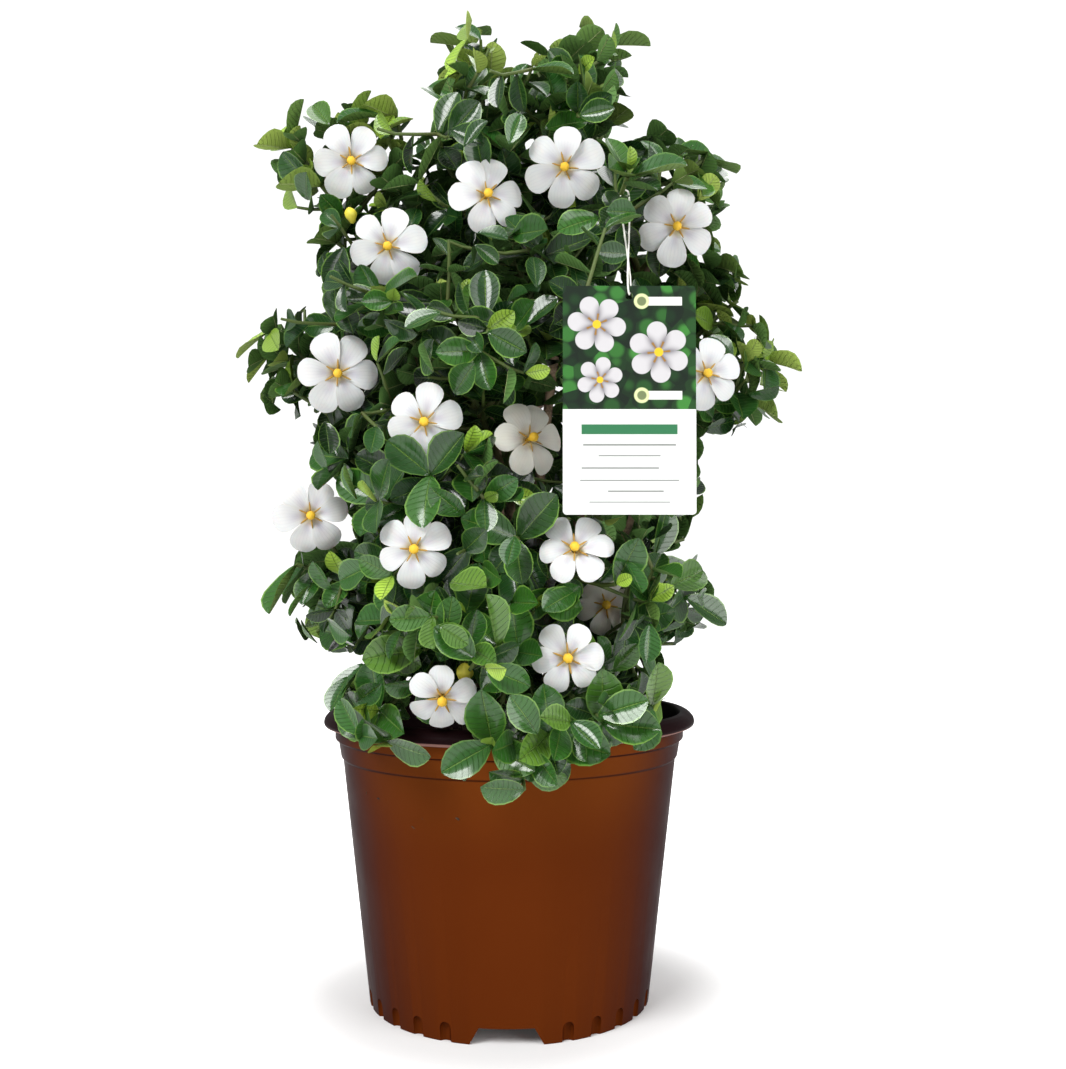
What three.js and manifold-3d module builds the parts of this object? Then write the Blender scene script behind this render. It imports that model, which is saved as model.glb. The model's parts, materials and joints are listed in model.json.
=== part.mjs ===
// A gardenia shrub in bloom in a brown plastic nursery pot, with a printed card hung in its front.
// Millimetres, +Z up. The origin is the middle of the pot's foot, on the ground. The pot's front faces -Y.
import * as THREE from "three";
import { mergeVertices } from "three/addons/utils/BufferGeometryUtils.js";
import Module from "manifold-3d";

const wasm = await Module();
wasm.setup();

// Driving dimensions
const CLEARANCE = 0.3;
const POT = {
  height: 216,
  lipRadius: 140,
  bodyTopRadius: 125.5,
  bodyTop: 181,
  footRadius: 105,
  wall: 2.2,
  skirtWall: 5.4,
  floorTop: 15,
  floorUnder: 12,
  padRadius: 36,
  padTop: 3,
  sides: 32,
};
const COLLAR = {
  step: 1.5,
  lowRadius: 127,
  highRadius: 129,
  highTop: 194.5,
  neckRadius: 131.5,
  neckTop: 203.5,
};
// The rolled lip's section from outside to inside: inwards from its widest radius, and down from the rim
const LIP = [[0.6, 10], [0, 8], [3, 2.4], [9, 0], [12, 4]];
const NOTCHES = { count: 3, bottomWidth: 50, topWidth: 38, height: 12, margin: 8, depth: 22 };
const FLUTES = { perBay: 7, firstAngle: 23.3, radius: 4.2, height: 14, proud: 0.9, sides: 6 };
const DRAIN_HOLES = { count: 6, ring: 78, radius: 6, sides: 6 };
const MIX = { top: 190, crownRadius: 60, shoulderTop: 189, edgeTop: 185, sides: 18 };
const ROOT_COLLAR = { bottom: 120, radius: 15, top: 212, sides: 8 };
const STEM = { baseRadius: 5.5, tipRadius: 2.6, sides: 5, steps: 5, sunk: 4, spread: 2.5, rise: 40 };
const AXIS = { baseRadius: 2.8, tipRadius: 1.7, steps: 4 };
const TWIG = { baseRadius: 2.1, tipRadius: 1.6, steps: 3 };
const LEAF = { length: 38, widthShare: 0.64, thickness: 0.8, fold: 0.14 };
const BLOOM = {
  petals: 6,
  radius: 27,
  throatRadius: 3.6,
  throatDip: 1.2,
  throatDepth: 7,
  tubeLength: 20,
  tubeRadius: 2.2,
  thickness: 0.8,
};
// One petal's outline: across in shares of its sector, out in shares of the radius, and lift likewise
const PETAL = [[-0.37, 0.5, 0.05], [-0.42, 0.82, 0.02], [0, 1, -0.06], [0.42, 0.82, 0.04], [0.4, 0.5, 0.1]];
const CALYX = { length: 13, radius: 3.2, lipRadius: 2.8, shoulder: 3 };
const HEART = {
  starRadius: 10.5,
  starLift: 2.4,
  plateTop: 0.7,
  plateUnder: 0.8,
  coreRadius: 3,
  clubRadius: 2.3,
  clubHeight: 7.5,
  clubDome: 1.2,
  footDepth: 6.2,
};
const BUD = { outline: [[0, -5], [3.4, -1], [5.4, 3], [4.6, 7], [0, 10]], sides: 6 };
const TAG = { width: 86, height: 148, thickness: 0.6, corner: 2.5, holeRadius: 2.5, holeDrop: 6.5 };
const TAG_CENTRE = new THREE.Vector3(80, -153, 431);
const LOOP = { radius: 0.6, sides: 3, stepsPerPoint: 2, hang: 6 };
// How finely a curve is framed for the rings of a bar along it
const FRAMES = 48;

// The crown's outline is near an ellipsoid, and leafy tips grow square out of it, tilted up by `lift`.
const CROWN = {
  middle: new THREE.Vector3(0, 0, 430),
  reach: new THREE.Vector3(190, 165, 300),
  lift: 0.45,
};

// How growth goes. A shoot forks off `back` along its carrier from the point nearest to its end, and its line
// is drawn early towards that end and late along the way that it faces, in shares of its length. A whorl's
// leaves stand round the twig and lean out in degrees, and their lengths are shares of the full length.
const FORK = { back: 0.3, first: 0.12, last: 0.78, lowest: 0.08, highest: 0.97 };
const DRAWN = { early: 0.3, late: 0.35 };
const WHORL = { leaves: 3, unevenness: 24, lean: 56, leanSpread: 22, shortest: 0.86, lengthSpread: 0.24 };

// Ways round a neighbour, tried in this order. A shoot slides its fork along its carrier and bows aside, and
// a leaf turns round its twig, leans further or less, and is smaller.
const SHOOT_WAYS = [
  [0, 0], [0, 12], [0, -12], [0.08, 0], [-0.08, 0], [0.08, 20], [0.08, -20], [-0.08, 20], [-0.08, -20],
  [0, 32], [0, -32], [0.16, 0], [-0.16, 0], [0.16, 28], [0.16, -28], [-0.16, 28], [-0.16, -28],
];
const LEAF_WAYS = [
  { around: 0, lean: 0, size: 1 },
  { around: 0, lean: 14, size: 1 },
  { around: 0, lean: -16, size: 1 },
  { around: 20, lean: 0, size: 1 },
  { around: -20, lean: 0, size: 1 },
  { around: 0, lean: 26, size: 0.86 },
  { around: 32, lean: 8, size: 0.86 },
  { around: -32, lean: 8, size: 0.86 },
  { around: 0, lean: -30, size: 0.8 },
];

// The woody stems: where each leaves the root collar, the point that it bends towards, and its top
const STEMS = {
  left_low: { foot: [-5, -2], bend: [-50, -30, 290], top: [-95, -35, 400] },
  left_high: { foot: [-4, 3], bend: [-40, 10, 390], top: [-95, -10, 570] },
  spire_left: { foot: [-1, 0], bend: [-10, 10, 430], top: [-25, -5, 640] },
  spire_right: { foot: [2, 3], bend: [25, 20, 430], top: [55, 10, 640] },
  right_high: { foot: [4, 2], bend: [60, 5, 370], top: [110, -20, 570] },
  right_low: { foot: [5, -2], bend: [60, -10, 270], top: [95, -30, 370] },
  front: { foot: [1, -5], bend: [5, -55, 310], top: [0, -75, 430] },
  back: { foot: [-1, 5], bend: [0, 60, 340], top: [0, 80, 520] },
};

// The leafy branches. Each leaves its stem at the share `join` of the stem's length, and carries a leaf whorl
// at each tip. The card hangs on the twig to the tip `cardOn`. A bloom has its throat `at` a point, and faces
// an azimuth (0 is the front, 90 is +X) and an elevation, in degrees, with its petals turned by `roll`.
const BRANCHES = {
  spire_left: {
    stem: "spire_left",
    join: 0.84,
    tips: [[-25, -10, 722], [-42, -30, 668], [4, -24, 680], [-50, -30, 632], [0, -62, 622], [-30, 34, 690]],
    blooms: [{ at: [-15, -84, 585], azimuth: 18, elevation: 4, roll: 12, size: 0.98 }],
  },
  spire_right: {
    stem: "spire_right",
    join: 0.82,
    tips: [[72, 0, 728], [38, -25, 700], [76, 22, 672], [24, -56, 655]],
    blooms: [{ at: [40, -84, 605], azimuth: 0, elevation: -14, roll: 20, size: 1.08 }],
  },
  lobe_left: {
    stem: "left_high",
    join: 0.88,
    tips: [[-164, -22, 640], [-138, -44, 604], [-85, -22, 662], [-122, -8, 652]],
    blooms: [{ at: [-115, -52, 620], azimuth: 8, elevation: -14, roll: 5, size: 1.0 }],
  },
  shoulder_left: {
    stem: "left_high",
    join: 0.6,
    tips: [[-78, -36, 600], [-128, -32, 565], [-128, -52, 528]],
    blooms: [{ at: [-85, -80, 550], azimuth: 6, elevation: -12, roll: 16, size: 1.05 }],
  },
  lobe_right: {
    stem: "right_high",
    join: 0.84,
    tips: [[105, -8, 645], [147, -22, 632], [82, -116, 588], [124, -30, 612]],
    cardOn: 2,
    blooms: [{ at: [120, -76, 565], azimuth: -4, elevation: -10, roll: 24, size: 1.02 }],
  },
  arm_right: {
    stem: "right_high",
    join: 0.5,
    tips: [[172, -22, 524], [152, -34, 548], [190, -20, 480], [178, -34, 446]],
    blooms: [{ at: [140, -78, 460], azimuth: 8, elevation: -4, roll: 20, size: 0.96 }],
  },
  arm_left: {
    stem: "left_low",
    join: 0.84,
    tips: [[-178, -30, 500], [-156, -20, 480], [-158, -42, 452], [-132, -48, 424]],
    blooms: [{ at: [-120, -78, 460], azimuth: 8, elevation: -6, roll: 0, size: 1.06 }],
  },
  breast: {
    stem: "front",
    join: 0.8,
    tips: [
      [-30, -114, 458], [-90, -84, 510], [-45, -92, 492], [-4, -112, 482], [26, -104, 478], [25, -92, 540],
    ],
    blooms: [
      { at: [-55, -126, 420], azimuth: 6, elevation: -4, roll: 16, size: 0.96 },
      { at: [15, -110, 410], azimuth: 32, elevation: 10, roll: 4, size: 0.98 },
    ],
  },
  flank_left: {
    stem: "left_low",
    join: 0.56,
    tips: [[-112, -72, 400], [-84, -94, 370], [-50, -132, 384], [-24, -122, 388]],
    blooms: [{ at: [-60, -140, 335], azimuth: 5, elevation: 0, roll: 24, size: 0.92 }],
  },
  low_left: {
    stem: "left_low",
    join: 0.34,
    tips: [[-152, -60, 325], [-116, -50, 306], [-108, -62, 272], [-150, 16, 345]],
    blooms: [{ at: [-140, -70, 360], azimuth: 9, elevation: -2, roll: 10, size: 0.98 }],
  },
  belly: {
    stem: "front",
    join: 0.5,
    tips: [[8, -134, 342], [72, -134, 312], [50, -124, 296]],
    blooms: [
      { at: [45, -140, 335], azimuth: -2, elevation: 20, roll: 3, size: 0.92 },
      { at: [70, -62, 296], azimuth: 0, elevation: 5, roll: 15, size: 0.8 },
    ],
  },
  low_right: {
    stem: "right_low",
    join: 0.5,
    tips: [[104, -62, 330], [126, -62, 302], [84, -112, 288], [104, -98, 236], [134, 4, 345]],
  },
  skirt_left: {
    stem: "front",
    join: 0.32,
    arch: 16,
    tips: [[-54, -140, 270], [-26, -142, 292], [-108, -112, 238], [-84, -124, 228]],
    blooms: [{ at: [-40, -158, 240], azimuth: 4, elevation: -22, roll: 28, size: 0.9 }],
    buds: [[-26, -152, 252]],
  },
  skirt_right: {
    stem: "front",
    join: 0.24,
    arch: 16,
    tips: [[8, -142, 268], [-8, -168, 212], [28, -168, 218], [62, -158, 224], [96, -132, 232]],
    blooms: [{ at: [40, -156, 265], azimuth: 0, elevation: 4, roll: 9, size: 0.86 }],
  },
  back_top: {
    stem: "spire_right",
    join: 0.66,
    tips: [[-12, 66, 640], [46, 72, 606], [-62, 74, 580], [4, 104, 590]],
  },
  back_left: {
    stem: "left_high",
    join: 0.42,
    tips: [[-122, 56, 520], [-142, 54, 440], [-92, 104, 480], [-106, 86, 380]],
    blooms: [{ at: [-112, 108, 430], azimuth: 222, elevation: 6, roll: 18, size: 1.0 }],
  },
  back_right: {
    stem: "right_high",
    join: 0.4,
    tips: [[122, 56, 520], [142, 62, 440], [86, 108, 486], [112, 88, 380]],
    blooms: [{ at: [112, 112, 536], azimuth: 140, elevation: 4, roll: 9, size: 1.0 }],
  },
  back_middle: {
    stem: "back",
    join: 0.62,
    tips: [[0, 122, 540], [-40, 134, 420], [44, 138, 430], [0, 140, 366]],
    blooms: [{ at: [4, 160, 478], azimuth: 182, elevation: -4, roll: 12, size: 1.02 }],
  },
  back_low: {
    stem: "back",
    join: 0.24,
    arch: 8,
    tips: [
      [4, 136, 300], [-98, 104, 310], [100, 104, 300], [-60, 136, 246], [62, 134, 240], [-132, 52, 262],
      [132, 46, 262],
    ],
  },
};

const UP = new THREE.Vector3(0, 0, 1);
const point = (p) => new THREE.Vector3(...p);
const profile = (section) => section.map(([r, z]) => new THREE.Vector2(r, z));
const radians = THREE.MathUtils.degToRad;

// Solids

// A closed geometry as a manifold solid.
function solidOf(geometry) {
  const bare = new THREE.BufferGeometry();
  bare.setAttribute("position", geometry.getAttribute("position"));
  if (geometry.index) bare.setIndex(geometry.index);
  const merged = mergeVertices(bare, 1e-4);
  return new wasm.Manifold(
    new wasm.Mesh({
      numProp: 3,
      vertProperties: new Float32Array(merged.attributes.position.array),
      triVerts: new Uint32Array(merged.index.array),
    }),
  );
}

// A manifold solid as a flat-shaded geometry.
function geometryOf(solid) {
  const { vertProperties, triVerts, numProp } = solid.getMesh();
  const positions = new Float32Array(triVerts.length * 3);
  triVerts.forEach((v, i) => positions.set(vertProperties.subarray(v * numProp, v * numProp + 3), i * 3));
  const geometry = new THREE.BufferGeometry();
  geometry.setAttribute("position", new THREE.BufferAttribute(positions, 3));
  geometry.computeVertexNormals();
  return geometry;
}

const moved = (solid, matrix) => solid.transform(matrix.elements);
const fused = (solids) => solids.reduce((all, one) => all.add(one));
const largest = (solid) => solid.decompose().reduce((a, b) => (b.volume() > a.volume() ? b : a));

// A closed geometry from its points and its faces, each a fan of three or more point numbers.
function facets(points, faces) {
  const index = faces.flatMap((f) => f.slice(2).flatMap((_, k) => [f[0], f[k + 1], f[k + 2]]));
  const geometry = new THREE.BufferGeometry().setFromPoints(points);
  geometry.setIndex(index);
  return geometry;
}

// The corners of a ring round a centre, from one of its two directions towards the other.
function ring(centre, across, upward, radius, sides) {
  return [...Array(sides).keys()].map((j) => {
    const angle = (2 * Math.PI * j) / sides;
    const out = across.clone().multiplyScalar(radius * Math.cos(angle));
    return out.addScaledVector(upward, radius * Math.sin(angle)).add(centre);
  });
}

// The faces that join each ring of corners to the next. A hoop's last ring joins its first.
function ringFaces(rings, sides, hoop) {
  const at = (i, j) => (i % rings) * sides + (j % sides);
  const faces = [];
  for (let i = 0; i < (hoop ? rings : rings - 1); i++) {
    for (let j = 0; j < sides; j++) faces.push([at(i, j), at(i, j + 1), at(i + 1, j + 1), at(i + 1, j)]);
  }
  return faces;
}

// A closed bar along a curve, with a ring of corners for each [share of the length, radius].
function bar(curve, rings, sides) {
  const frames = curve.computeFrenetFrames(FRAMES, false);
  const points = rings.flatMap(([share, radius]) => {
    const i = Math.round(share * FRAMES);
    return ring(curve.getPointAt(share), frames.normals[i], frames.binormals[i], radius, sides);
  });
  const around = [...Array(sides).keys()];
  const last = points.length - sides;
  const ends = [around.map((j) => (sides - j) % sides), around.map((j) => last + j)];
  return facets(points, [...ringFaces(rings.length, sides, false), ...ends]);
}

// A closed hoop of one thickness along a curve that is nearly flat, with `pole` square to its plane.
function hoop(curve, steps, pole, radius, sides) {
  const points = [...Array(steps).keys()].flatMap((i) => {
    const out = pole.clone().cross(curve.getTangent(i / steps)).normalize();
    return ring(curve.getPoint(i / steps), pole, out.negate(), radius, sides);
  });
  return facets(points, ringFaces(steps, sides, true));
}

// Evenly spaced rings for a bar that tapers, each `swell` wider where a clear space round it is meant.
function taper({ baseRadius, tipRadius, steps }, swell = 0) {
  const shares = [...Array(steps + 1).keys()].map((i) => i / steps);
  return shares.map((share) => [share, THREE.MathUtils.lerp(baseRadius, tipRadius, share) + swell]);
}

// A number from 0 to 1 at each call, the same series for the same seed.
function draws(seed) {
  let state = Math.imul(seed + 1, 2654435761) >>> 0;
  return () => {
    state = (Math.imul(state, 1664525) + 1013904223) >>> 0;
    return state / 4294967296;
  };
}

// Pot

// The radius of the pot's outside at a height below its collar.
const outsideAt = (z) => THREE.MathUtils.mapLinear(z, 0, POT.bodyTop, POT.footRadius, POT.bodyTopRadius);

// The pot's section: up the outside, over the lip, down the inside, into the pad and back under the floor.
function potProfile() {
  const { height: h, lipRadius: lip, bodyTop, bodyTopRadius: top, footRadius: foot, wall, skirtWall } = POT;
  const { floorTop, floorUnder, padRadius, padTop } = POT;
  const { step, lowRadius, highRadius, highTop, neckRadius, neckTop } = COLLAR;
  return profile([
    [foot, 0], [top, bodyTop], [lowRadius, bodyTop + step], [highRadius, highTop],
    [neckRadius, highTop + step], [neckRadius, neckTop],
    ...LIP.map(([inwards, down]) => [lip - inwards, h - down]),
    [top - wall, MIX.edgeTop], [outsideAt(floorTop) - skirtWall, floorTop],
    [padRadius + 2, floorTop], [padRadius - 1, padTop], [0, padTop], [0, 0],
    [padRadius + 1, 0], [padRadius + 4, floorUnder],
    [foot - skirtWall, floorUnder], [foot - skirtWall, 0], [foot, 0],
  ]);
}

// A lathe turns round Y: this stands it up on Z.
const standing = (geometry) => geometry.rotateX(Math.PI / 2);
const turnedBody = (profile, sides) => solidOf(standing(new THREE.LatheGeometry(profile, sides)));
const atAngle = (degrees) => new THREE.Matrix4().makeRotationZ(radians(degrees));

// The opening in the skirt, wider at the ground.
function notchCutter() {
  const { bottomWidth, topWidth, height, margin, depth } = NOTCHES;
  const shape = new THREE.Shape([
    new THREE.Vector2(-bottomWidth / 2 - 1, -1), new THREE.Vector2(bottomWidth / 2 + 1, -1),
    new THREE.Vector2(topWidth / 2, height), new THREE.Vector2(-topWidth / 2, height),
  ]);
  const cutter = new THREE.ExtrudeGeometry(shape, { depth: depth + margin, bevelEnabled: false });
  return solidOf(cutter.rotateX(Math.PI / 2).translate(0, depth - POT.footRadius, 0));
}

// The scoop that presses one flute into the skirt: a round bar with a domed top.
function fluteCutter() {
  const { radius, height, proud, sides } = FLUTES;
  const dome = [[0, -2], [radius, -2], [radius, height - radius], [radius * 0.6, height - 0.5], [0, height]];
  return turnedBody(profile(dome), sides).translate(0, -POT.footRadius - proud, 0);
}

function potSolid() {
  const { count } = NOTCHES;
  const bay = 360 / count;
  const pitch = (bay - 2 * FLUTES.firstAngle) / (FLUTES.perBay - 1);
  const cutters = [];
  for (let k = 0; k < count; k++) {
    cutters.push(moved(notchCutter(), atAngle(k * bay)));
    for (let i = 0; i < FLUTES.perBay; i++) {
      cutters.push(moved(fluteCutter(), atAngle(k * bay + FLUTES.firstAngle + i * pitch)));
    }
  }
  const drill = new THREE.CylinderGeometry(DRAIN_HOLES.radius, DRAIN_HOLES.radius, 20, DRAIN_HOLES.sides);
  const hole = solidOf(standing(drill)).translate(0, -DRAIN_HOLES.ring, POT.floorTop);
  for (let k = 0; k < DRAIN_HOLES.count; k++) {
    cutters.push(moved(hole, atAngle((k * 360) / DRAIN_HOLES.count)));
  }
  return turnedBody(potProfile(), POT.sides).subtract(fused(cutters));
}

// Root collar and potting mix. The mix fills the pot to just under its lip, with a plain hole for the collar.

function rootCollar(swell = 0) {
  const { bottom, radius, top, sides } = ROOT_COLLAR;
  const section = [
    [0, bottom - swell], [radius * 0.6 + swell, bottom - swell], [radius + swell, MIX.top],
    [radius * 0.8 + swell, top - 6], [0, top + swell],
  ];
  return turnedBody(profile(section), sides);
}

function mixSolid() {
  const gap = CLEARANCE + 0.05;
  const { wall, skirtWall, bodyTopRadius, floorTop, padRadius, padTop } = POT;
  const { top, crownRadius, shoulderTop, edgeTop, sides } = MIX;
  const section = [
    [0, padTop + gap], [padRadius - 1 - gap, padTop + gap], [padRadius + 2 - gap, floorTop + gap],
    [outsideAt(floorTop) - skirtWall - 2 * gap, floorTop + gap],
    [bodyTopRadius - wall - 2 * gap, edgeTop], [crownRadius, shoulderTop], [0, top],
  ];
  return turnedBody(profile(section), sides).subtract(rootCollar(CLEARANCE));
}

// Woody stems

function stemCurve({ foot: [x, y], bend, top }) {
  const { sunk, spread, rise } = STEM;
  const start = new THREE.Vector3(x, y, MIX.top - sunk);
  const splay = new THREE.Vector3(x * spread, y * spread, MIX.top + rise);
  return new THREE.CubicBezierCurve3(start, splay, point(bend), point(top));
}

const stemSolid = (stem, swell) => solidOf(bar(stemCurve(stem), taper(STEM, swell), STEM.sides));

// All the stems as one piece, joined in the root collar.
const stemsSolid = (swell = 0) =>
  fused([rootCollar(swell), ...Object.values(STEMS).map((stem) => stemSolid(stem, swell))]);

// Blooms

// Six petals in one thin dished blade round a throat, on a slender tube. The bloom faces +Z.
function petalsGeometry(size) {
  const { petals, radius, throatRadius, throatDip, throatDepth, tubeLength, tubeRadius, thickness } = BLOOM;
  const perPetal = PETAL.length + 1;
  const points = [];
  const faces = [];
  const spoke = (turn, r, z) => new THREE.Vector3(r * Math.sin(turn), r * Math.cos(turn), z);
  const sector = (2 * Math.PI) / petals;
  const bottom = petals * perPetal;
  for (const drop of [0, thickness]) {
    for (let k = 0; k < petals; k++) {
      const middle = (k + 0.5) * sector;
      points.push(spoke(k * sector, throatRadius, -throatDip - drop));
      for (const [side, reach, lift] of PETAL) {
        points.push(spoke(middle + side * sector, radius * size * reach, radius * lift - drop));
      }
    }
  }
  for (let k = 0; k < petals; k++) {
    const first = k * perPetal;
    const next = ((k + 1) % petals) * perPetal;
    const rim = [next, ...PETAL.map((_, i) => first + 1 + i).reverse(), first];
    const fromTip = [...rim.slice(3), ...rim.slice(0, 3)];
    faces.push(fromTip, [fromTip[0], ...fromTip.slice(1).reverse()].map((corner) => corner + bottom));
    rim.slice(1).forEach((b, i) => faces.push([rim[i] + bottom, b + bottom, b, rim[i]]));
  }
  const throat = points.push(new THREE.Vector3(0, 0, -throatDepth)) - 1;
  const tubeEnd = points.length;
  for (let k = 0; k < petals; k++) points.push(spoke(k * sector, tubeRadius, -tubeLength));
  for (let k = 0; k < petals; k++) {
    const j = (k + 1) % petals;
    faces.push([throat, j * perPetal, k * perPetal]);
    faces.push([k * perPetal + bottom, j * perPetal + bottom, tubeEnd + j, tubeEnd + k]);
  }
  faces.push([...Array(petals).keys()].map((k) => tubeEnd + k));
  return facets(points, faces);
}

// The stamens, a star whose points lie over the gaps between the petals, and the club that stands in its
// middle with its foot down in the throat.
function heartGeometry() {
  const { petals } = BLOOM;
  const sector = (2 * Math.PI) / petals;
  const points = [];
  const spoke = (turn, r, z) => points.push(new THREE.Vector3(r * Math.sin(turn), r * Math.cos(turn), z)) - 1;
  const spokes = (r, z, half) => [...Array(petals).keys()].map((k) => spoke((k + half) * sector, r, z));
  const under = spokes(HEART.coreRadius, -HEART.plateUnder, 0.5);
  const over = spokes(HEART.coreRadius, HEART.plateTop, 0.5);
  const tip = spokes(HEART.starRadius, HEART.starLift, 0);
  const top = spokes(HEART.clubRadius, HEART.clubHeight - HEART.clubDome, 0.5);
  const apex = spoke(0, 0, HEART.clubHeight);
  const foot = spoke(0, 0, -HEART.footDepth);
  const faces = [];
  for (let k = 0; k < petals; k++) {
    const j = (k + petals - 1) % petals;
    faces.push([under[j], tip[k], under[k]], [over[j], over[k], tip[k]]);
    faces.push([under[k], tip[k], over[k]], [tip[k], under[j], over[j]]);
    faces.push([over[k], over[j], top[j], top[k]], [top[k], top[j], apex], [foot, under[j], under[k]]);
  }
  return facets(points, faces);
}

// Where a bloom stands: its throat is the group's origin, and it faces along the group's +Z.
function bloomPlace({ at, azimuth, elevation, roll }) {
  const [a, e] = [radians(azimuth), radians(elevation)];
  const facing = new THREE.Vector3(Math.sin(a) * Math.cos(e), -Math.cos(a) * Math.cos(e), Math.sin(e));
  const side = UP.clone().cross(facing).normalize();
  const basis = new THREE.Matrix4().makeBasis(side, facing.clone().cross(side), facing);
  const turn = new THREE.Quaternion().setFromAxisAngle(UP, radians(roll));
  const place = new THREE.Group();
  place.position.copy(point(at));
  place.quaternion.setFromRotationMatrix(basis).multiply(turn);
  place.updateMatrixWorld();
  return place;
}

// Twigs and leaves

// The way a leafy tip grows: square out of the crown's outline, and a little up.
function tipFacing(tip) {
  const { middle, reach, lift } = CROWN;
  const out = tip.clone().sub(middle).divide(reach).divide(reach).normalize();
  return out.addScaledVector(UP, lift).normalize();
}

// A shoot's line from its fork to its end, which it reaches along `facing`.
function shootCurve(start, end, facing, arch, bow) {
  const aside = end.clone().sub(start).cross(UP).normalize().multiplyScalar(bow);
  const early = start.clone().lerp(end, DRAWN.early).addScaledVector(UP, arch).add(aside);
  const late = end.clone().addScaledVector(facing, -DRAWN.late * start.distanceTo(end));
  return new THREE.CubicBezierCurve3(start, early, late, end);
}

// Where along its carrier a shoot forks off: some way back from the point that comes nearest to its end.
function forkAt(carrier, end) {
  const shares = [...Array(21).keys()].map((i) => i / 20);
  const distance = (share) => carrier.getPointAt(share).distanceTo(end);
  const nearest = shares.reduce((a, b) => (distance(b) < distance(a) ? b : a));
  return THREE.MathUtils.clamp(nearest - FORK.back, FORK.first, FORK.last);
}

// A direction square to the way that something grows, turned round it by an angle.
function outward(grow, angle) {
  const level = Math.abs(grow.z) > 0.95 ? new THREE.Vector3(0, 1, 0) : UP;
  return level.clone().cross(grow).normalize().applyAxisAngle(grow, radians(angle));
}

// The place of a leaf that springs from a shoot at the share t of its length, turned `around` it, and leans
// `lean` degrees away from the way that the shoot grows. The leaf runs along its +Y and faces its +Z.
function leafPlace(curve, t, around, lean) {
  const grow = curve.getTangentAt(t);
  const along = grow.clone().multiplyScalar(Math.cos(radians(lean)));
  along.addScaledVector(outward(grow, around), Math.sin(radians(lean)));
  const across = along.clone().cross(grow).normalize();
  const basis = new THREE.Matrix4().makeBasis(across, along, across.clone().cross(along));
  return basis.setPosition(curve.getPointAt(t));
}

// The leaves of a tip's whorl, each with its place and size. The same seed gives the same whorl.
const WHORL_STEP = 360 / WHORL.leaves;
const whorlTurn = (seed) => draws(seed)() * WHORL_STEP;

function whorl(seed) {
  const draw = draws(seed);
  const first = draw() * WHORL_STEP;
  return [...Array(WHORL.leaves).keys()].map((k) => ({
    around: first + k * WHORL_STEP + WHORL.unevenness * (draw() - 0.5),
    lean: WHORL.lean + WHORL.leanSpread * draw(),
    length: LEAF.length * (WHORL.shortest + WHORL.lengthSpread * draw()),
  }));
}

// The corners of one face of a leaf, from its root down one edge to the tip and back up the other. It is
// broadest past its middle, and its edges stand up on both sides of the midrib.
function leafCorners(length, width, lift) {
  const foldAt = (side) => length * LEAF.fold * side ** 2;
  const corner = (side, u) => new THREE.Vector3((side * width) / 2, length * u, foldAt(side) + lift);
  return [corner(0.9, 0.4), corner(0.82, 0.78), corner(0, 1), corner(-0.82, 0.78), corner(-0.9, 0.4)];
}

// A leaf by itself, with a clear space round it, to test whether it has room.
function leafEnvelope(length, place) {
  const half = LEAF.thickness / 2 + CLEARANCE;
  const width = length * LEAF.widthShare + 4 * CLEARANCE;
  const points = [half, -half].flatMap((lift) => [
    new THREE.Vector3(0, 0, lift),
    ...leafCorners(length + 2 * CLEARANCE, width, lift),
  ]);
  const [root, tip, perFace] = [0, 3, 6];
  const over = [[tip, 4, 5, root], [tip, root, 1, 2]];
  const under = over.map((face) => face.map((corner) => corner + perFace).reverse());
  const rim = [...Array(perFace).keys()];
  const edges = rim.map((a) => [a, a + perFace, ((a + 1) % perFace) + perFace, (a + 1) % perFace]);
  return moved(solidOf(facets(points, [...over, ...under, ...edges])), place);
}

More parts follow.
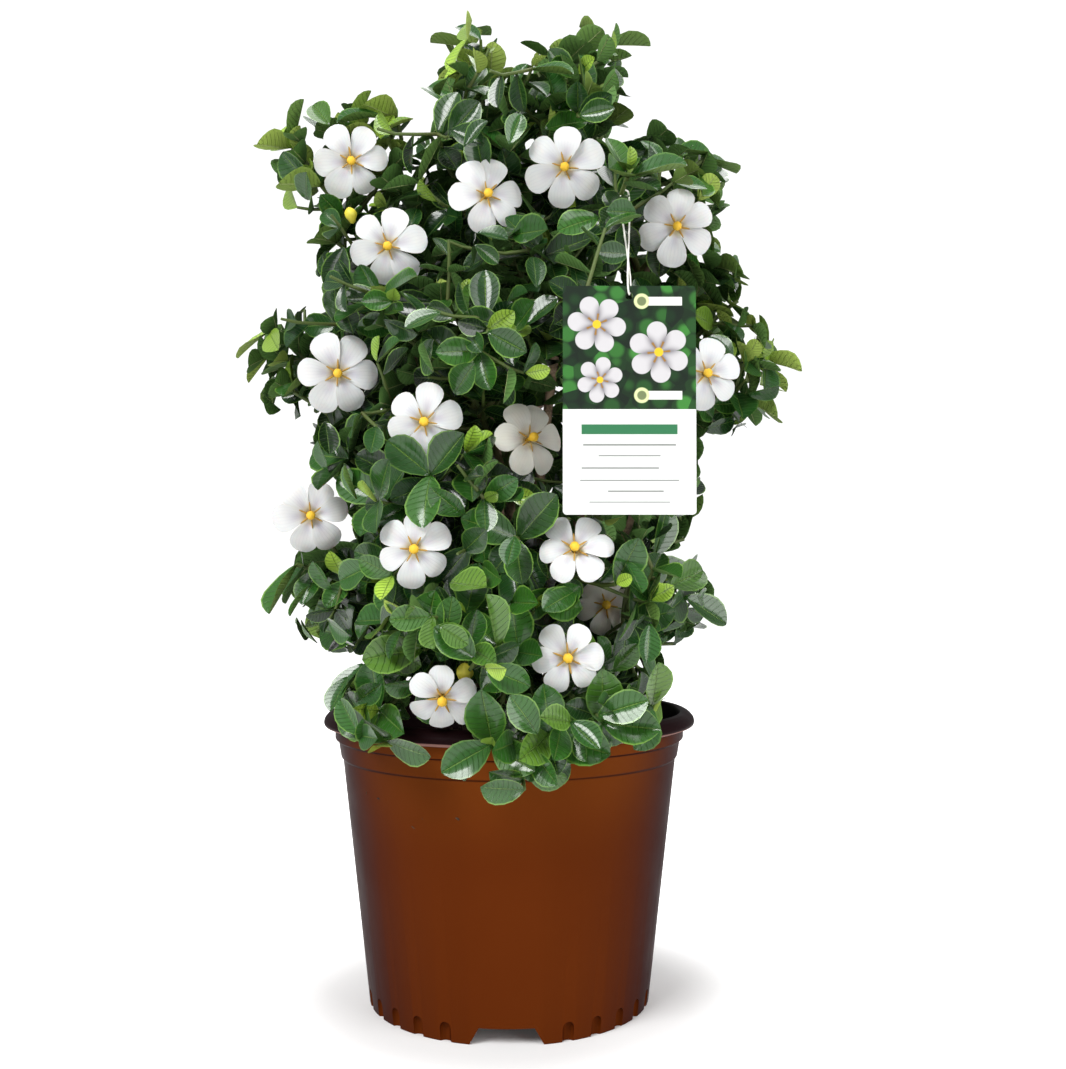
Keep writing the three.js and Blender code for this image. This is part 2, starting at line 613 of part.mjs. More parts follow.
// A shoot and the whorl at its tip as one closed surface: a twig that opens into its leaves, with as many
// sides. Each leaf lies between two of the twig's corners, and one that has no room is null.
function sprigGeometry(curve, size, leaves, firstAngle) {
  const tangent = curve.getTangentAt(1);
  const corners = [...Array(WHORL.leaves).keys()];
  const normals = [outward(tangent, firstAngle - WHORL_STEP / 2)];
  for (let i = size.steps - 1; i >= 0; i--) {
    const along = curve.getTangentAt(i / size.steps);
    normals.unshift(normals[0].clone().addScaledVector(along, -normals[0].dot(along)).normalize());
  }
  const points = [];
  taper(size).forEach(([share, radius], i) => {
    const centre = curve.getPointAt(share);
    const along = curve.getTangentAt(share);
    corners.forEach((k) => {
      const out = normals[i].clone().applyAxisAngle(along, radians(k * WHORL_STEP));
      points.push(out.multiplyScalar(radius).add(centre));
    });
  });
  const foot = (i, k) => i * corners.length + (k % corners.length);
  const valley = (k) => foot(size.steps, k);
  const crests = corners.map(
    (k) => points.push(points[valley(k)].clone().addScaledVector(tangent, LEAF.thickness)) - 1,
  );
  const faces = [corners.map((k) => foot(0, k)).reverse(), [...crests]];
  for (let i = 0; i < size.steps; i++) {
    corners.forEach((k) => faces.push([foot(i, k), foot(i, k + 1), foot(i + 1, k + 1), foot(i + 1, k)]));
  }
  corners.forEach((k) => {
    const low = [valley(k), valley(k + 1)];
    const high = [crests[k], crests[(k + 1) % crests.length]];
    const leaf = leaves[k];
    if (!leaf) {
      faces.push([low[0], low[1], high[1], high[0]]);
      return;
    }
    const first = points.length;
    for (const lift of [LEAF.thickness / 2, -LEAF.thickness / 2]) {
      const face = leafCorners(leaf.length, leaf.length * LEAF.widthShare, lift);
      points.push(...face.map((corner) => corner.applyMatrix4(leaf.place)));
    }
    const perFace = (points.length - first) / 2;
    const edge = [...Array(perFace).keys()];
    const over = [high[0], ...edge.map((i) => first + i), high[1]];
    const under = [low[0], ...edge.map((i) => first + perFace + i), low[1]];
    const tip = 3;
    faces.push([...over.slice(tip), ...over.slice(0, tip)]);
    faces.push([under[tip], ...under.slice(0, tip).reverse(), ...under.slice(tip + 1).reverse()]);
    for (let i = 0; i < over.length - 1; i++) faces.push([under[i], under[i + 1], over[i + 1], over[i]]);
  });
  return facets(points, faces);
}

// A closed flower bud on the end of its twig.
const budSolid = (place) => turnedBody(profile(BUD.outline), BUD.sides).translate(...place);

// What already stands in the bush, each solid with its owner.
const standingThings = [];

function addThing(solid, owner, part) {
  standingThings.push({ solid, owner, part, box: solid.boundingBox() });
}

const boxesMeet = (a, b) => [0, 1, 2].every((i) => a.min[i] < b.max[i] && b.min[i] < a.max[i]);

function isClear(solid, mayTouch) {
  const box = solid.boundingBox();
  const near = standingThings.filter((other) => !mayTouch(other) && boxesMeet(box, other.box));
  return near.every((other) => solid.intersect(other.solid).isEmpty());
}

// The rings of a shoot's bar. One that carries a bloom widens at its end into the cup of sepals.
function shootRings(size, swell, calyx, length) {
  if (!calyx) return taper(size, swell);
  const { length: cup, radius, lipRadius, shoulder } = CALYX;
  const stalk = taper({ ...size, steps: 2 }, swell).map(([share, r]) => [share * (1 - cup / length), r]);
  return [...stalk, [1 - shoulder / length, radius + swell], [1, lipRadius + swell]];
}

// The first way that leaves a shoot clear of its neighbours.
function clearShoot({ carrier, fork, end, facing, arch, size, calyx, mayTouch }) {
  for (const [slide, bow] of SHOOT_WAYS) {
    const start = carrier.getPointAt(THREE.MathUtils.clamp(fork + slide, FORK.lowest, FORK.highest));
    const curve = shootCurve(start, end, facing, arch, bow);
    const rings = (swell) => shootRings(size, swell, calyx, curve.getLength());
    if (isClear(solidOf(bar(curve, rings(2 * CLEARANCE), 4)), mayTouch)) {
      return { curve, solid: solidOf(bar(curve, rings(0), calyx ? 4 : 3)) };
    }
  }
  throw new Error(`no clear way to ${end.toArray()}`);
}

// The shoots of one branch: its axis to the first tip, then a twig to each other tip, bud and bloom.
function growShoots(name, { stem, join, tips, buds = [], arch = 0 }, bloomPlaces) {
  const mayTouch = (other) => other.owner === name || (other.owner === "stems" && other.part === stem);
  const ends = [
    ...tips.map((tip) => ({ end: point(tip), facing: tipFacing(point(tip)), kind: "leafy" })),
    ...buds.map((bud) => ({ end: point(bud), facing: tipFacing(point(bud)), kind: "bud" })),
    ...bloomPlaces.map((place) => {
      const facing = UP.clone().transformDirection(place.matrixWorld);
      const end = new THREE.Vector3(0, 0, -BLOOM.tubeLength - CLEARANCE).applyMatrix4(place.matrixWorld);
      return { end, facing, kind: "bloom" };
    }),
  ];
  const shoots = [];
  for (const { end, facing, kind } of ends) {
    const first = shoots.length === 0;
    const carrier = first ? stemCurve(STEMS[stem]) : shoots[0].curve;
    const fork = first ? join : forkAt(carrier, end);
    const size = first ? AXIS : TWIG;
    const calyx = kind === "bloom";
    const shoot = clearShoot({ carrier, fork, end, facing, arch, size, calyx, mayTouch });
    const seed = (shootCount += 1);
    addThing(shoot.solid, name, seed);
    shoots.push({ ...shoot, size, kind, seed });
  }
  return shoots;
}

// The leaves of a shoot's whorl, each bent clear of every other piece, or null where there is no room.
function growWhorl(name, { curve, seed }) {
  const mayTouch = (other) => other.owner === name && other.part === seed;
  return whorl(seed).map((leaf) => {
    for (const way of LEAF_WAYS) {
      const length = leaf.length * way.size;
      const place = leafPlace(curve, 1, leaf.around + way.around, leaf.lean + way.lean);
      const envelope = leafEnvelope(length, place);
      if (isClear(envelope, mayTouch)) {
        addThing(envelope, name, seed);
        return { place, length };
      }
    }
    return null;
  });
}

// Card and its loop

function tagGeometry() {
  const { width, height, corner, thickness, holeRadius, holeDrop } = TAG;
  const [x, z] = [width / 2, height / 2];
  const corners = [[-x, -z], [x, -z], [x, z], [-x, z]];
  const outline = corners.flatMap(([cx, cz]) => {
    const [inX, inZ] = [-Math.sign(cx) * corner, -Math.sign(cz) * corner];
    const cuts = [new THREE.Vector2(cx + inX, cz), new THREE.Vector2(cx, cz + inZ)];
    return cx * cz > 0 ? cuts.reverse() : cuts;
  });
  const shape = new THREE.Shape(outline);
  shape.holes.push(new THREE.Path().absarc(0, z - holeDrop, holeRadius, 0, 2 * Math.PI, true));
  const card = new THREE.ExtrudeGeometry(shape, { depth: thickness, bevelEnabled: false, curveSegments: 4 });
  return card.rotateX(Math.PI / 2).translate(0, thickness / 2, 0);
}

// The elastic loop: up from the card's hole, one strand on each face of the card, and over the twig behind.
function loopGeometry(twig) {
  const seat = TAG.holeRadius - LOOP.radius - 3 * CLEARANCE;
  const hole = TAG_CENTRE.clone().add(new THREE.Vector3(0, 0, TAG.height / 2 - TAG.holeDrop + seat));
  const outer = new THREE.Line3(twig.getPointAt(1 - 1 / TWIG.steps), twig.getPointAt(1));
  const hung = outer.closestPointToPoint(hole, true, new THREE.Vector3());
  const rise = hung.clone().sub(hole).normalize();
  const side = outer.delta(new THREE.Vector3()).cross(rise).normalize();
  const over = TWIG.tipRadius + LOOP.radius + 2 * CLEARANCE;
  const off = TAG.thickness / 2 + LOOP.radius + CLEARANCE;
  const edge = TAG.holeDrop - seat + 1;
  const nearHole = (x, y, z) => new THREE.Vector3(x, y, z).add(hole);
  const nearTwig = (x, z) => hung.clone().addScaledVector(side, x * over).addScaledVector(rise, z * over);
  const route = [
    hole, nearHole(-0.5, -off, 1.5), nearHole(-1, -off, edge), nearTwig(-1, -LOOP.hang),
    nearTwig(-1, -0.4), nearTwig(-0.72, 0.72), nearTwig(0, 1.05), nearTwig(0.72, 0.72), nearTwig(1, -0.4),
    nearTwig(1, -LOOP.hang), nearHole(1, off, edge), nearHole(0.5, off, 1.5),
  ];
  const pole = side.clone().cross(rise);
  const steps = route.length * LOOP.stepsPerPoint;
  return hoop(new THREE.CatmullRomCurve3(route, true), steps, pole, LOOP.radius, LOOP.sides);
}

// Assembly

const plastic = (color) => new THREE.MeshStandardMaterial({ color, roughness: 0.45, metalness: 0 });
const MATERIALS = {
  pot: plastic("#5c2a17"),
  mix: new THREE.MeshStandardMaterial({ color: "#2b2019", roughness: 0.95, metalness: 0 }),
  bark: new THREE.MeshStandardMaterial({ color: "#6e5a45", roughness: 0.85, metalness: 0 }),
  foliage: new THREE.MeshStandardMaterial({ color: "#23571f", roughness: 0.3, metalness: 0 }),
  petals: new THREE.MeshStandardMaterial({ color: "#f4f2f0", roughness: 0.6, metalness: 0 }),
  heart: new THREE.MeshStandardMaterial({ color: "#e0a818", roughness: 0.6, metalness: 0 }),
  card: plastic("#f3f4f1"),
  elastic: plastic("#f4f1e8"),
};

const plant = new THREE.Group();

function addMesh(name, geometry, material, parent = plant) {
  const mesh = new THREE.Mesh(geometry, material);
  mesh.name = name;
  parent.add(mesh);
  return mesh;
}

const pot = potSolid();
const mix = mixSolid();
addMesh("pot", geometryOf(pot), MATERIALS.pot);
addMesh("potting_mix", geometryOf(mix), MATERIALS.mix);
addMesh("woody_stems", geometryOf(stemsSolid()), MATERIALS.bark);
addThing(pot, "pot");
addThing(mix, "mix");
for (const [name, stem] of Object.entries(STEMS)) addThing(stemSolid(stem, CLEARANCE), "stems", name);

const card = tagGeometry();
addMesh("plant_tag", card, MATERIALS.card).position.copy(TAG_CENTRE);
addThing(solidOf(card).translate(...TAG_CENTRE), "tag");
let bloomCount = 0;
const placesOf = {};
for (const [name, { blooms = [] }] of Object.entries(BRANCHES)) {
  placesOf[name] = blooms.map((bloom) => {
    const label = `bloom_${String(++bloomCount).padStart(2, "0")}`;
    const place = bloomPlace(bloom);
    plant.add(place);
    const petals = petalsGeometry(bloom.size);
    const heart = heartGeometry();
    addMesh(`${label}_petals`, petals, MATERIALS.petals, place);
    addMesh(`${label}_heart`, heart, MATERIALS.heart, place);
    addThing(moved(solidOf(petals), place.matrixWorld), "blooms");
    addThing(moved(solidOf(heart), place.matrixWorld), "blooms");
    return place;
  });
}

let shootCount = 0;
const shootsOf = {};
for (const [name, branch] of Object.entries(BRANCHES)) {
  shootsOf[name] = growShoots(name, branch, placesOf[name]);
  if (branch.cardOn) {
    const loop = loopGeometry(shootsOf[name][branch.cardOn].curve);
    addMesh("tag_loop", loop, MATERIALS.elastic);
    addThing(solidOf(loop), "tag");
  }
}

const clearOfStems = stemsSolid(CLEARANCE);
for (const [name, shoots] of Object.entries(shootsOf)) {
  const pieces = shoots.map((shoot) => {
    if (shoot.kind !== "leafy") return shoot.solid;
    return solidOf(sprigGeometry(shoot.curve, shoot.size, growWhorl(name, shoot), whorlTurn(shoot.seed)));
  });
  pieces.push(...(BRANCHES[name].buds ?? []).map(budSolid));
  const grown = largest(fused(pieces).subtract(clearOfStems));
  addMesh(`branch_${name}`, geometryOf(grown), MATERIALS.foliage);
}

export default plant;
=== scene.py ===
# A potted gardenia in bloom: fine leaves, twigs, blooms, pot, potting mix and card, grown over the plain
# solids by the same rules. It runs as a script or as an add-on with a panel in the 3D view's sidebar.
import json
import math
from collections import namedtuple

import bmesh
import bpy
import numpy as np
from bpy.props import FloatProperty, FloatVectorProperty, IntProperty, PointerProperty
from bpy.types import Operator, Panel, PropertyGroup
from mathutils import Euler, Matrix, Vector
from mathutils.bvhtree import BVHTree
from mathutils.kdtree import KDTree

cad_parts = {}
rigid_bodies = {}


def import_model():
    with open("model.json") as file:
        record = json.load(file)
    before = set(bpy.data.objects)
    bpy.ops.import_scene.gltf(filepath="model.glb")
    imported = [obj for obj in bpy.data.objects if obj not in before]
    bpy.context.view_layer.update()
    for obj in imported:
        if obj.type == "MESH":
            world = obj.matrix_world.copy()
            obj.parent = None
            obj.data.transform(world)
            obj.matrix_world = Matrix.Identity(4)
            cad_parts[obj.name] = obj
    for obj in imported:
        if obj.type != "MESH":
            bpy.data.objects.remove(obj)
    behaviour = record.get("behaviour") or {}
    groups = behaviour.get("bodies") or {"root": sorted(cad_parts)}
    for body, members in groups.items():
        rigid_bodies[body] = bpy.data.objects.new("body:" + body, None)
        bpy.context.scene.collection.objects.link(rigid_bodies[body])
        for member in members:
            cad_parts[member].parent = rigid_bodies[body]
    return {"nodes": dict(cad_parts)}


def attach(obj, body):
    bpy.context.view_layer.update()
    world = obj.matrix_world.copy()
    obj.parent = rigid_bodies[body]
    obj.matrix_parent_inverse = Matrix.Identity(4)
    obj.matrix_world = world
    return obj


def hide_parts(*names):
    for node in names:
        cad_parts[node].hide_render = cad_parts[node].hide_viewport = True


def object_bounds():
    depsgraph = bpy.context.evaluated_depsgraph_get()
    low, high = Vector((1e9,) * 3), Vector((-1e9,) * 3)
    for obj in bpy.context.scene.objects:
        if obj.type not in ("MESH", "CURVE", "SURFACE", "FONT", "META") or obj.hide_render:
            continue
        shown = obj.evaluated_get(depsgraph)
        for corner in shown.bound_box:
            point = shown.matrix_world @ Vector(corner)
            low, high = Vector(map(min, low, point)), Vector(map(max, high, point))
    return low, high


bl_info = {
    "name": "Potted Gardenia",
    "version": (1, 0, 0),
    "blender": (4, 5, 0),
    "location": "3D Viewport > Sidebar > Gardenia",
    "description": "Builds a gardenia shrub in a nursery pot over its solids",
    "category": "Object",
}

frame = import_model()
SOLID_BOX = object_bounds()

# Sizes are in millimetres here, and MM turns them into the scene's metres.
MM = 0.001
UP = np.array((0.0, 0.0, 1.0))

POT = {
    "height": 216,
    "lip_radius": 140,
    "body_top_radius": 125.5,
    "body_top": 181,
    "foot_radius": 105,
    "wall": 2.2,
    "skirt_wall": 5.4,
    "floor_top": 15,
    "floor_under": 12,
    "pad_radius": 36,
    "pad_top": 3,
}
COLLAR = {
    "step": 1.5,
    "low_radius": 127,
    "high_radius": 129,
    "high_top": 194.5,
    "neck_radius": 131.5,
    "neck_top": 203.5,
}
# The rolled lip's section from outside to inside: inwards from its widest radius, and down from the rim
LIP = ((0.6, 10), (0, 8), (0.7, 5.2), (3, 2.4), (5.8, 0.6), (9, 0), (11, 1), (12, 4))
NOTCHES = {"count": 3, "bottom_width": 50, "top_width": 38, "height": 12, "margin": 8, "depth": 22}
FLUTES = {"per_bay": 7, "first_angle": 23.3, "radius": 4.2, "height": 14, "proud": 0.9}
DRAIN_HOLES = {"count": 6, "ring": 78, "radius": 6}
MIX = {"top": 190, "edge_top": 185, "gap": 0.35}
ROOT_COLLAR = {"bottom": 120, "radius": 15, "top": 212}
STEM = {"base_radius": 5.5, "tip_radius": 2.6, "sunk": 4, "spread": 2.5, "rise": 40}
AXIS = {"base_radius": 2.8, "tip_radius": 1.7, "steps": 4, "green": 0.25}
TWIG = {"base_radius": 2.1, "tip_radius": 1.6, "steps": 3, "green": 0.55}
LEAF = {"width_share": 0.64, "fold": 0.14}
BLOOM = {"petals": 6, "radius": 27, "throat_radius": 3.6, "throat_dip": 1.2, "tube_length": 20}
CALYX = {"length": 13, "radius": 3.2, "lip_radius": 2.8, "shoulder": 3, "foot_radius": 2.6, "swell": 6}
TAG = {"width": 86, "height": 148, "thickness": 0.6, "corner": 2.5, "hole_radius": 2.5, "hole_drop": 6.5}
TAG_CENTRE = np.array((80.0, -153.0, 431.0))
LOOP = {"radius": 0.6, "hang": 6, "clearance": 0.3}
CAMERA = {"place": np.array((17.8, -945.5, 322.8)), "pitch": 0.027, "lens": 41.516}

# The crown's outline is near an ellipsoid, and leafy tips grow square out of it, tilted up by its lift.
CROWN_MIDDLE = np.array((0.0, 0.0, 430.0))
CROWN_REACH = np.array((190.0, 165.0, 300.0))
CROWN_LIFT = 0.45

# How growth goes, as for the plain solids: where a shoot forks off its carrier, how its line is drawn, and
# how a whorl's leaves stand.
FORK = {"back": 0.3, "first": 0.12, "last": 0.78, "lowest": 0.08, "highest": 0.97}
DRAWN = {"early": 0.3, "late": 0.35}
WHORL = {
    "leaves": 3,
    "length": 38,
    "unevenness": 24,
    "lean": 56,
    "lean_spread": 22,
    "shortest": 0.86,
    "length_spread": 0.24,
}

# The ways round a neighbour. A shoot slides its fork and bows aside. A leaf turns, leans further, and is
# smaller.
SHOOT_WAYS = (
    (0, 0), (0, 12), (0, -12), (0.08, 0), (-0.08, 0), (0.08, 20), (0.08, -20), (-0.08, 20), (-0.08, -20),
    (0, 32), (0, -32), (0.16, 0), (-0.16, 0), (0.16, 28), (0.16, -28), (-0.16, 28), (-0.16, -28),
)
LEAF_WAYS = (
    (0, 0, 1), (0, 14, 1), (0, -16, 1), (20, 0, 1), (-20, 0, 1), (0, 26, 0.86), (32, 8, 0.86), (-32, 8, 0.86),
    (0, -30, 0.8),
)
GOLDEN_ANGLE = 137.5

# Values that differ from one time to the next are written as (least, how much more at most).

# The whorls down a shoot: how far below its end they start, their size and lean, and their spacing's share
CLOTHED = {"below_end": 6, "size": (0.6, 0.32), "lean": (44, 34), "spacing": (0.8, 0.4)}
# The growth on the solids' own shoots: its whorls, how far they keep from a bloom, and where side sprigs fork
# off, how long they are and where they fork again
SHOOT = {
    "bare": 0.3,
    "spacing": 10,
    "age": 0.8,
    "below_bloom": 26,
    "first_fork": 0.22,
    "last_fork": 0.94,
    "below_end": 4,
    "sprig_length": (0.65, 0.6),
    "second_forks": (0.85, 0.5),
    "second_length": 0.8,
}
# How close leaves come in the second round and in the room left, as a share of their usual distance
CLOSER = 0.8
# New shoots, off the solids' own and into the room left: how far the whorl at the tip leans and its size, the
# ages of its leaves and of those below, the shares of the shoot where its leaves begin and end, their scale
# and the spacing of their whorls, how far the shoot turns up, its radii and how green it is
SPRIG = {
    "tip_lean": WHORL["lean"],
    "size": (0.6, 0.34),
    "ages": (0.55, 0.75),
    "bare": 0.3,
    "clothed": 0.8,
    "scale": 0.95,
    "spacing": 9,
    "lift": 0.5,
    "radii": (1.5, 1.35, 1.25, 1.1),
    "green": 0.75,
}
FILLER = {
    "tip_lean": 50,
    "size": (0.55, 0.35),
    "ages": (0.6, 0.8),
    "bare": 0.25,
    "clothed": 0.85,
    "scale": 0.9,
    "spacing": 9,
    "lift": 0.6,
    "radii": (1.4, 1.3, 1.2, 1.0),
    "green": 0.6,
}
# How far a sprig leans from its shoot in degrees, and the sprigs straight off the stems
SPRIG_LEAN = (38, 26)
STEM_SPRIGS = {"length": 44, "spacing": 14, "bare": 0.3}
# Where the room left is filled, as shares of the crown's reach, how far from the nearest twig at least, and
# how far from the solids, as a share of the setting
FILL = {"height": (-0.85, 1.85), "depth": (0.5, 0.55), "nearest": 12, "stray": 1.4}
# The whorl of small upright leaves at a young tip
YOUNG_TIP = {"size": (0.4, 0.22), "lean": 14, "ahead": 1.5, "age": -0.25, "apart": 2.4}
# A leaf's age, with painted shade added: that of the solids' own, the share of young leaves in the youngest
# growth, what is left of their age, how far back they stand, how much painted shade grows with depth in the
# crown past the depth where it starts, leaves nearer the outline being painted lighter, and how far chance
# changes it
AGE = {
    "solid": 0.5,
    "young_share": 0.5,
    "young": 0.2,
    "young_back": 20,
    "deep_shade": 1.1,
    "shell": 0.06,
    "spread": 0.36,
}
# Room kept free of leaves: round the pot, over the mix, inside the lip, round the card and behind it, before
# and behind a bloom's throat, along and beside its tube, and round a bud
ROOM = {
    "pot": 4,
    "mix": 6,
    "lip": 10,
    "card": 4,
    "behind_card": 3,
    "before_bloom": 40,
    "throat": 4,
    "tube": 24,
    "beside_tube": 6,
    "bud": 8.0,
}
# How far past the solids' box a leaf, the end of a sprig and the end of a filler may be
PAST_BOX = {"leaf": 6, "sprig": 2, "filler": 0}
# The share of a bloom's radius that no whorl of the solids stands before
BLOOM_MIDDLE = 0.62

# The woody stems: where each leaves the root collar, the point that it bends towards, and its top
STEMS = {
    "left_low": ((-5, -2), (-50, -30, 290), (-95, -35, 400)),
    "left_high": ((-4, 3), (-40, 10, 390), (-95, -10, 570)),
    "spire_left": ((-1, 0), (-10, 10, 430), (-25, -5, 640)),
    "spire_right": ((2, 3), (25, 20, 430), (55, 10, 640)),
    "right_high": ((4, 2), (60, 5, 370), (110, -20, 570)),
    "right_low": ((5, -2), (60, -10, 270), (95, -30, 370)),
    "front": ((1, -5), (5, -55, 310), (0, -75, 430)),
    "back": ((-1, 5), (0, 60, 340), (0, 80, 520)),
}

# A branch: the stem that bears it, how far up that, its leafy tips, its blooms as (throat, azimuth,
# elevation, roll, size), how far its shoots arch up, and its buds
Branch = namedtuple("Branch", "stem join tips blooms arch buds", defaults=((), 0, ()))
BRANCHES = {
    "spire_left": Branch(
        "spire_left", 0.84,
        ((-25, -10, 722), (-42, -30, 668), (4, -24, 680), (-50, -30, 632), (0, -62, 622), (-30, 34, 690)),
        (((-15, -84, 585), 18, 4, 12, 0.98),),
    ),
    "spire_right": Branch(
        "spire_right", 0.82,
        ((72, 0, 728), (38, -25, 700), (76, 22, 672), (24, -56, 655)),
        (((40, -84, 605), 0, -14, 20, 1.08),),
    ),
    "lobe_left": Branch(
        "left_high", 0.88,
        ((-164, -22, 640), (-138, -44, 604), (-85, -22, 662), (-122, -8, 652)),
        (((-115, -52, 620), 8, -14, 5, 1),),
    ),
    "shoulder_left": Branch(
        "left_high", 0.6,
        ((-78, -36, 600), (-128, -32, 565), (-128, -52, 528)),
        (((-85, -80, 550), 6, -12, 16, 1.05),),
    ),
    "lobe_right": Branch(
        "right_high", 0.84,
        ((105, -8, 645), (147, -22, 632), (82, -116, 588), (124, -30, 612)),
        (((120, -76, 565), -4, -10, 24, 1.02),),
    ),
    "arm_right": Branch(
        "right_high", 0.5,
        ((172, -22, 524), (152, -34, 548), (190, -20, 480), (178, -34, 446)),
        (((140, -78, 460), 8, -4, 20, 0.96),),
    ),
    "arm_left": Branch(
        "left_low", 0.84,
        ((-178, -30, 500), (-156, -20, 480), (-158, -42, 452), (-132, -48, 424)),
        (((-120, -78, 460), 8, -6, 0, 1.06),),
    ),
    "breast": Branch(
        "front", 0.8,
        (
            (-30, -114, 458), (-90, -84, 510), (-45, -92, 492), (-4, -112, 482), (26, -104, 478),
            (25, -92, 540),
        ),
        (((-55, -126, 420), 6, -4, 16, 0.96), ((15, -110, 410), 32, 10, 4, 0.98)),
    ),
    "flank_left": Branch(
        "left_low", 0.56,
        ((-112, -72, 400), (-84, -94, 370), (-50, -132, 384), (-24, -122, 388)),
        (((-60, -140, 335), 5, 0, 24, 0.92),),
    ),
    "low_left": Branch(
        "left_low", 0.34,
        ((-152, -60, 325), (-116, -50, 306), (-108, -62, 272), (-150, 16, 345)),
        (((-140, -70, 360), 9, -2, 10, 0.98),),
    ),
    "belly": Branch(
        "front", 0.5,
        ((8, -134, 342), (72, -134, 312), (50, -124, 296)),
        (((45, -140, 335), -2, 20, 3, 0.92), ((70, -62, 296), 0, 5, 15, 0.8)),
    ),
    "low_right": Branch(
        "right_low", 0.5,
        ((104, -62, 330), (126, -62, 302), (84, -112, 288), (104, -98, 236), (134, 4, 345)),
    ),
    "skirt_left": Branch(
        "front", 0.32,
        ((-54, -140, 270), (-26, -142, 292), (-108, -112, 238), (-84, -124, 228)),
        (((-40, -158, 240), 4, -22, 28, 0.9),),
        16,
        ((-26, -152, 252),),
    ),
    "skirt_right": Branch(
        "front", 0.24,
        ((8, -142, 268), (-8, -168, 212), (28, -168, 218), (62, -158, 224), (96, -132, 232)),
        (((40, -156, 265), 0, 4, 9, 0.86),),
        16,
    ),
    "back_top": Branch(
        "spire_right", 0.66,
        ((-12, 66, 640), (46, 72, 606), (-62, 74, 580), (4, 104, 590)),
    ),
    "back_left": Branch(
        "left_high", 0.42,
        ((-122, 56, 520), (-142, 54, 440), (-92, 104, 480), (-106, 86, 380)),
        (((-112, 108, 430), 222, 6, 18, 1),),
    ),
    "back_right": Branch(
        "right_high", 0.4,
        ((122, 56, 520), (142, 62, 440), (86, 108, 486), (112, 88, 380)),
        (((112, 112, 536), 140, 4, 9, 1),),
    ),
    "back_middle": Branch(
        "back", 0.62,
        ((0, 122, 540), (-40, 134, 420), (44, 138, 430), (0, 140, 366)),
        (((4, 160, 478), 182, -4, 12, 1.02),),
    ),
    "back_low": Branch(
        "back", 0.24,
        (
            (4, 136, 300), (-98, 104, 310), (100, 104, 300), (-60, 136, 246), (62, 134, 240),
            (-132, 52, 262), (132, 46, 262),
        ),
        (),
        8,
    ),
}
# The branch that the card hangs on, and which of its shoots
CARD_BRANCH, CARD_SHOOT = "lobe_right", 2

# Where the youngest growth shows from the front: its x and z, and how far round it leaves are young
YOUNG = {
    (-159, 633): 26,
    (-177, 495): 30,
    (-28, 706): 26,
    (-97, 647): 22,
    (-13, 480): 24,
    (161, 502): 26,
    (197, 477): 20,
}

# The crown's lobes as the front shows them: each one's middle in x and z on the plane through the pot's axis,
# and half its width and height
LOBES = {
    "left spire": (-30, 690, 25, 60),
    "right spire": (78, 720, 28, 33),
    "right spire's foot": (42, 684, 46, 44),
    "upper left lobe": (-130, 640, 58, 48),
    "left shoulder": (-96, 560, 52, 60),
    "left arm": (-160, 482, 48, 40),
    "left flank": (-92, 415, 60, 52),
    "lower left lobe": (-132, 300, 44, 40),
    "left skirt": (-95, 212, 45, 34),
    "middle": (0, 430, 125, 270),
    "belly": (-10, 192, 86, 42),
    "right skirt": (80, 228, 40, 42),
    "lower right lobe": (118, 300, 38, 32),
    "right flank": (95, 390, 54, 56),
    "right arm": (166, 470, 52, 44),
    "right shoulder": (130, 530, 54, 48),
    "upper right lobe": (118, 610, 52, 48),
}
LOBES_AT, LOBES_REACH = np.hsplit(np.array(list(LOBES.values()), float), 2)
CROWN_TOP = max(middle + reach for _, middle, _, reach in LOBES.values())

# The blooms that have gone cream, and the one whose stigma has grown long
AGED_BLOOMS = ("09", "13")
LONG_STIGMA = "09"
# Flower buds: branch, place, size, and how they lean about X and Y in degrees
BUDS = (("skirt_left", (-26, -152, 252), 1.0, (10, 0)), ("shoulder_left", (-113, -62, 575), 0.8, (14, -16)))

# Leaf forms: fold, curl of the tip, wave of the edge and twist
LEAF_FORMS = (
    (0.14, 0.02, 0.0, 0.0), (0.19, -0.05, 0.02, 0.12), (0.1, 0.09, 0.03, -0.1), (0.15, 0.05, -0.03, 0.18),
    (0.22, 0.0, 0.015, -0.16),
)
# A leaf's rows along it as (share of its length, share of its half width), and its points across
LEAF_ROWS = (
    (0, 0.07), (0.1, 0.34), (0.26, 0.7), (0.44, 0.94), (0.62, 1), (0.78, 0.86), (0.9, 0.56), (0.97, 0.24),
)
LEAF_TOPS = (-1, -0.5, 0, 0.5, 1)
# A petal's rows: how far out in shares of its reach, and its half width in mm
PETAL_ROWS = (
    (0, 1.9), (0.1, 3.1), (0.22, 4.9), (0.36, 6.9), (0.5, 8.6), (0.64, 9.6), (0.76, 9.6), (0.86, 8.3),
    (0.94, 6.0), (0.985, 3.6),
)
PETAL_TOPS = (-1, -0.66, -0.33, 0, 0.33, 0.66, 1)
HALF_PETAL = 9.6
# How far a petal rises over its throat in mm, at shares of its reach
PETAL_RISE = ((0, -1.3), (0.2, 0.8), (0.45, 2.1), (0.75, 1.1), (1, -2.2))

# The first seeds of what differs from piece to piece
SEEDS = {"leaves": 900, "petal": 40, "petal_ring": 11, "anther_ring": 60, "crumb": 77, "crumbs": 3}

# The lamps, each with its place and size in metres and the setting that holds its power
LAMPS = {
    "key": ((-1.1, -1.5, 1.75), 1.1, "key"),
    "fill": ((1.6, -1.3, 0.9), 1.4, "fill"),
    "top": ((0.2, 0.6, 2.2), 1.6, "fill"),
}
LAMPS_AIM = Vector((0, 0, 0.4))
FLOOR_HALF = 9

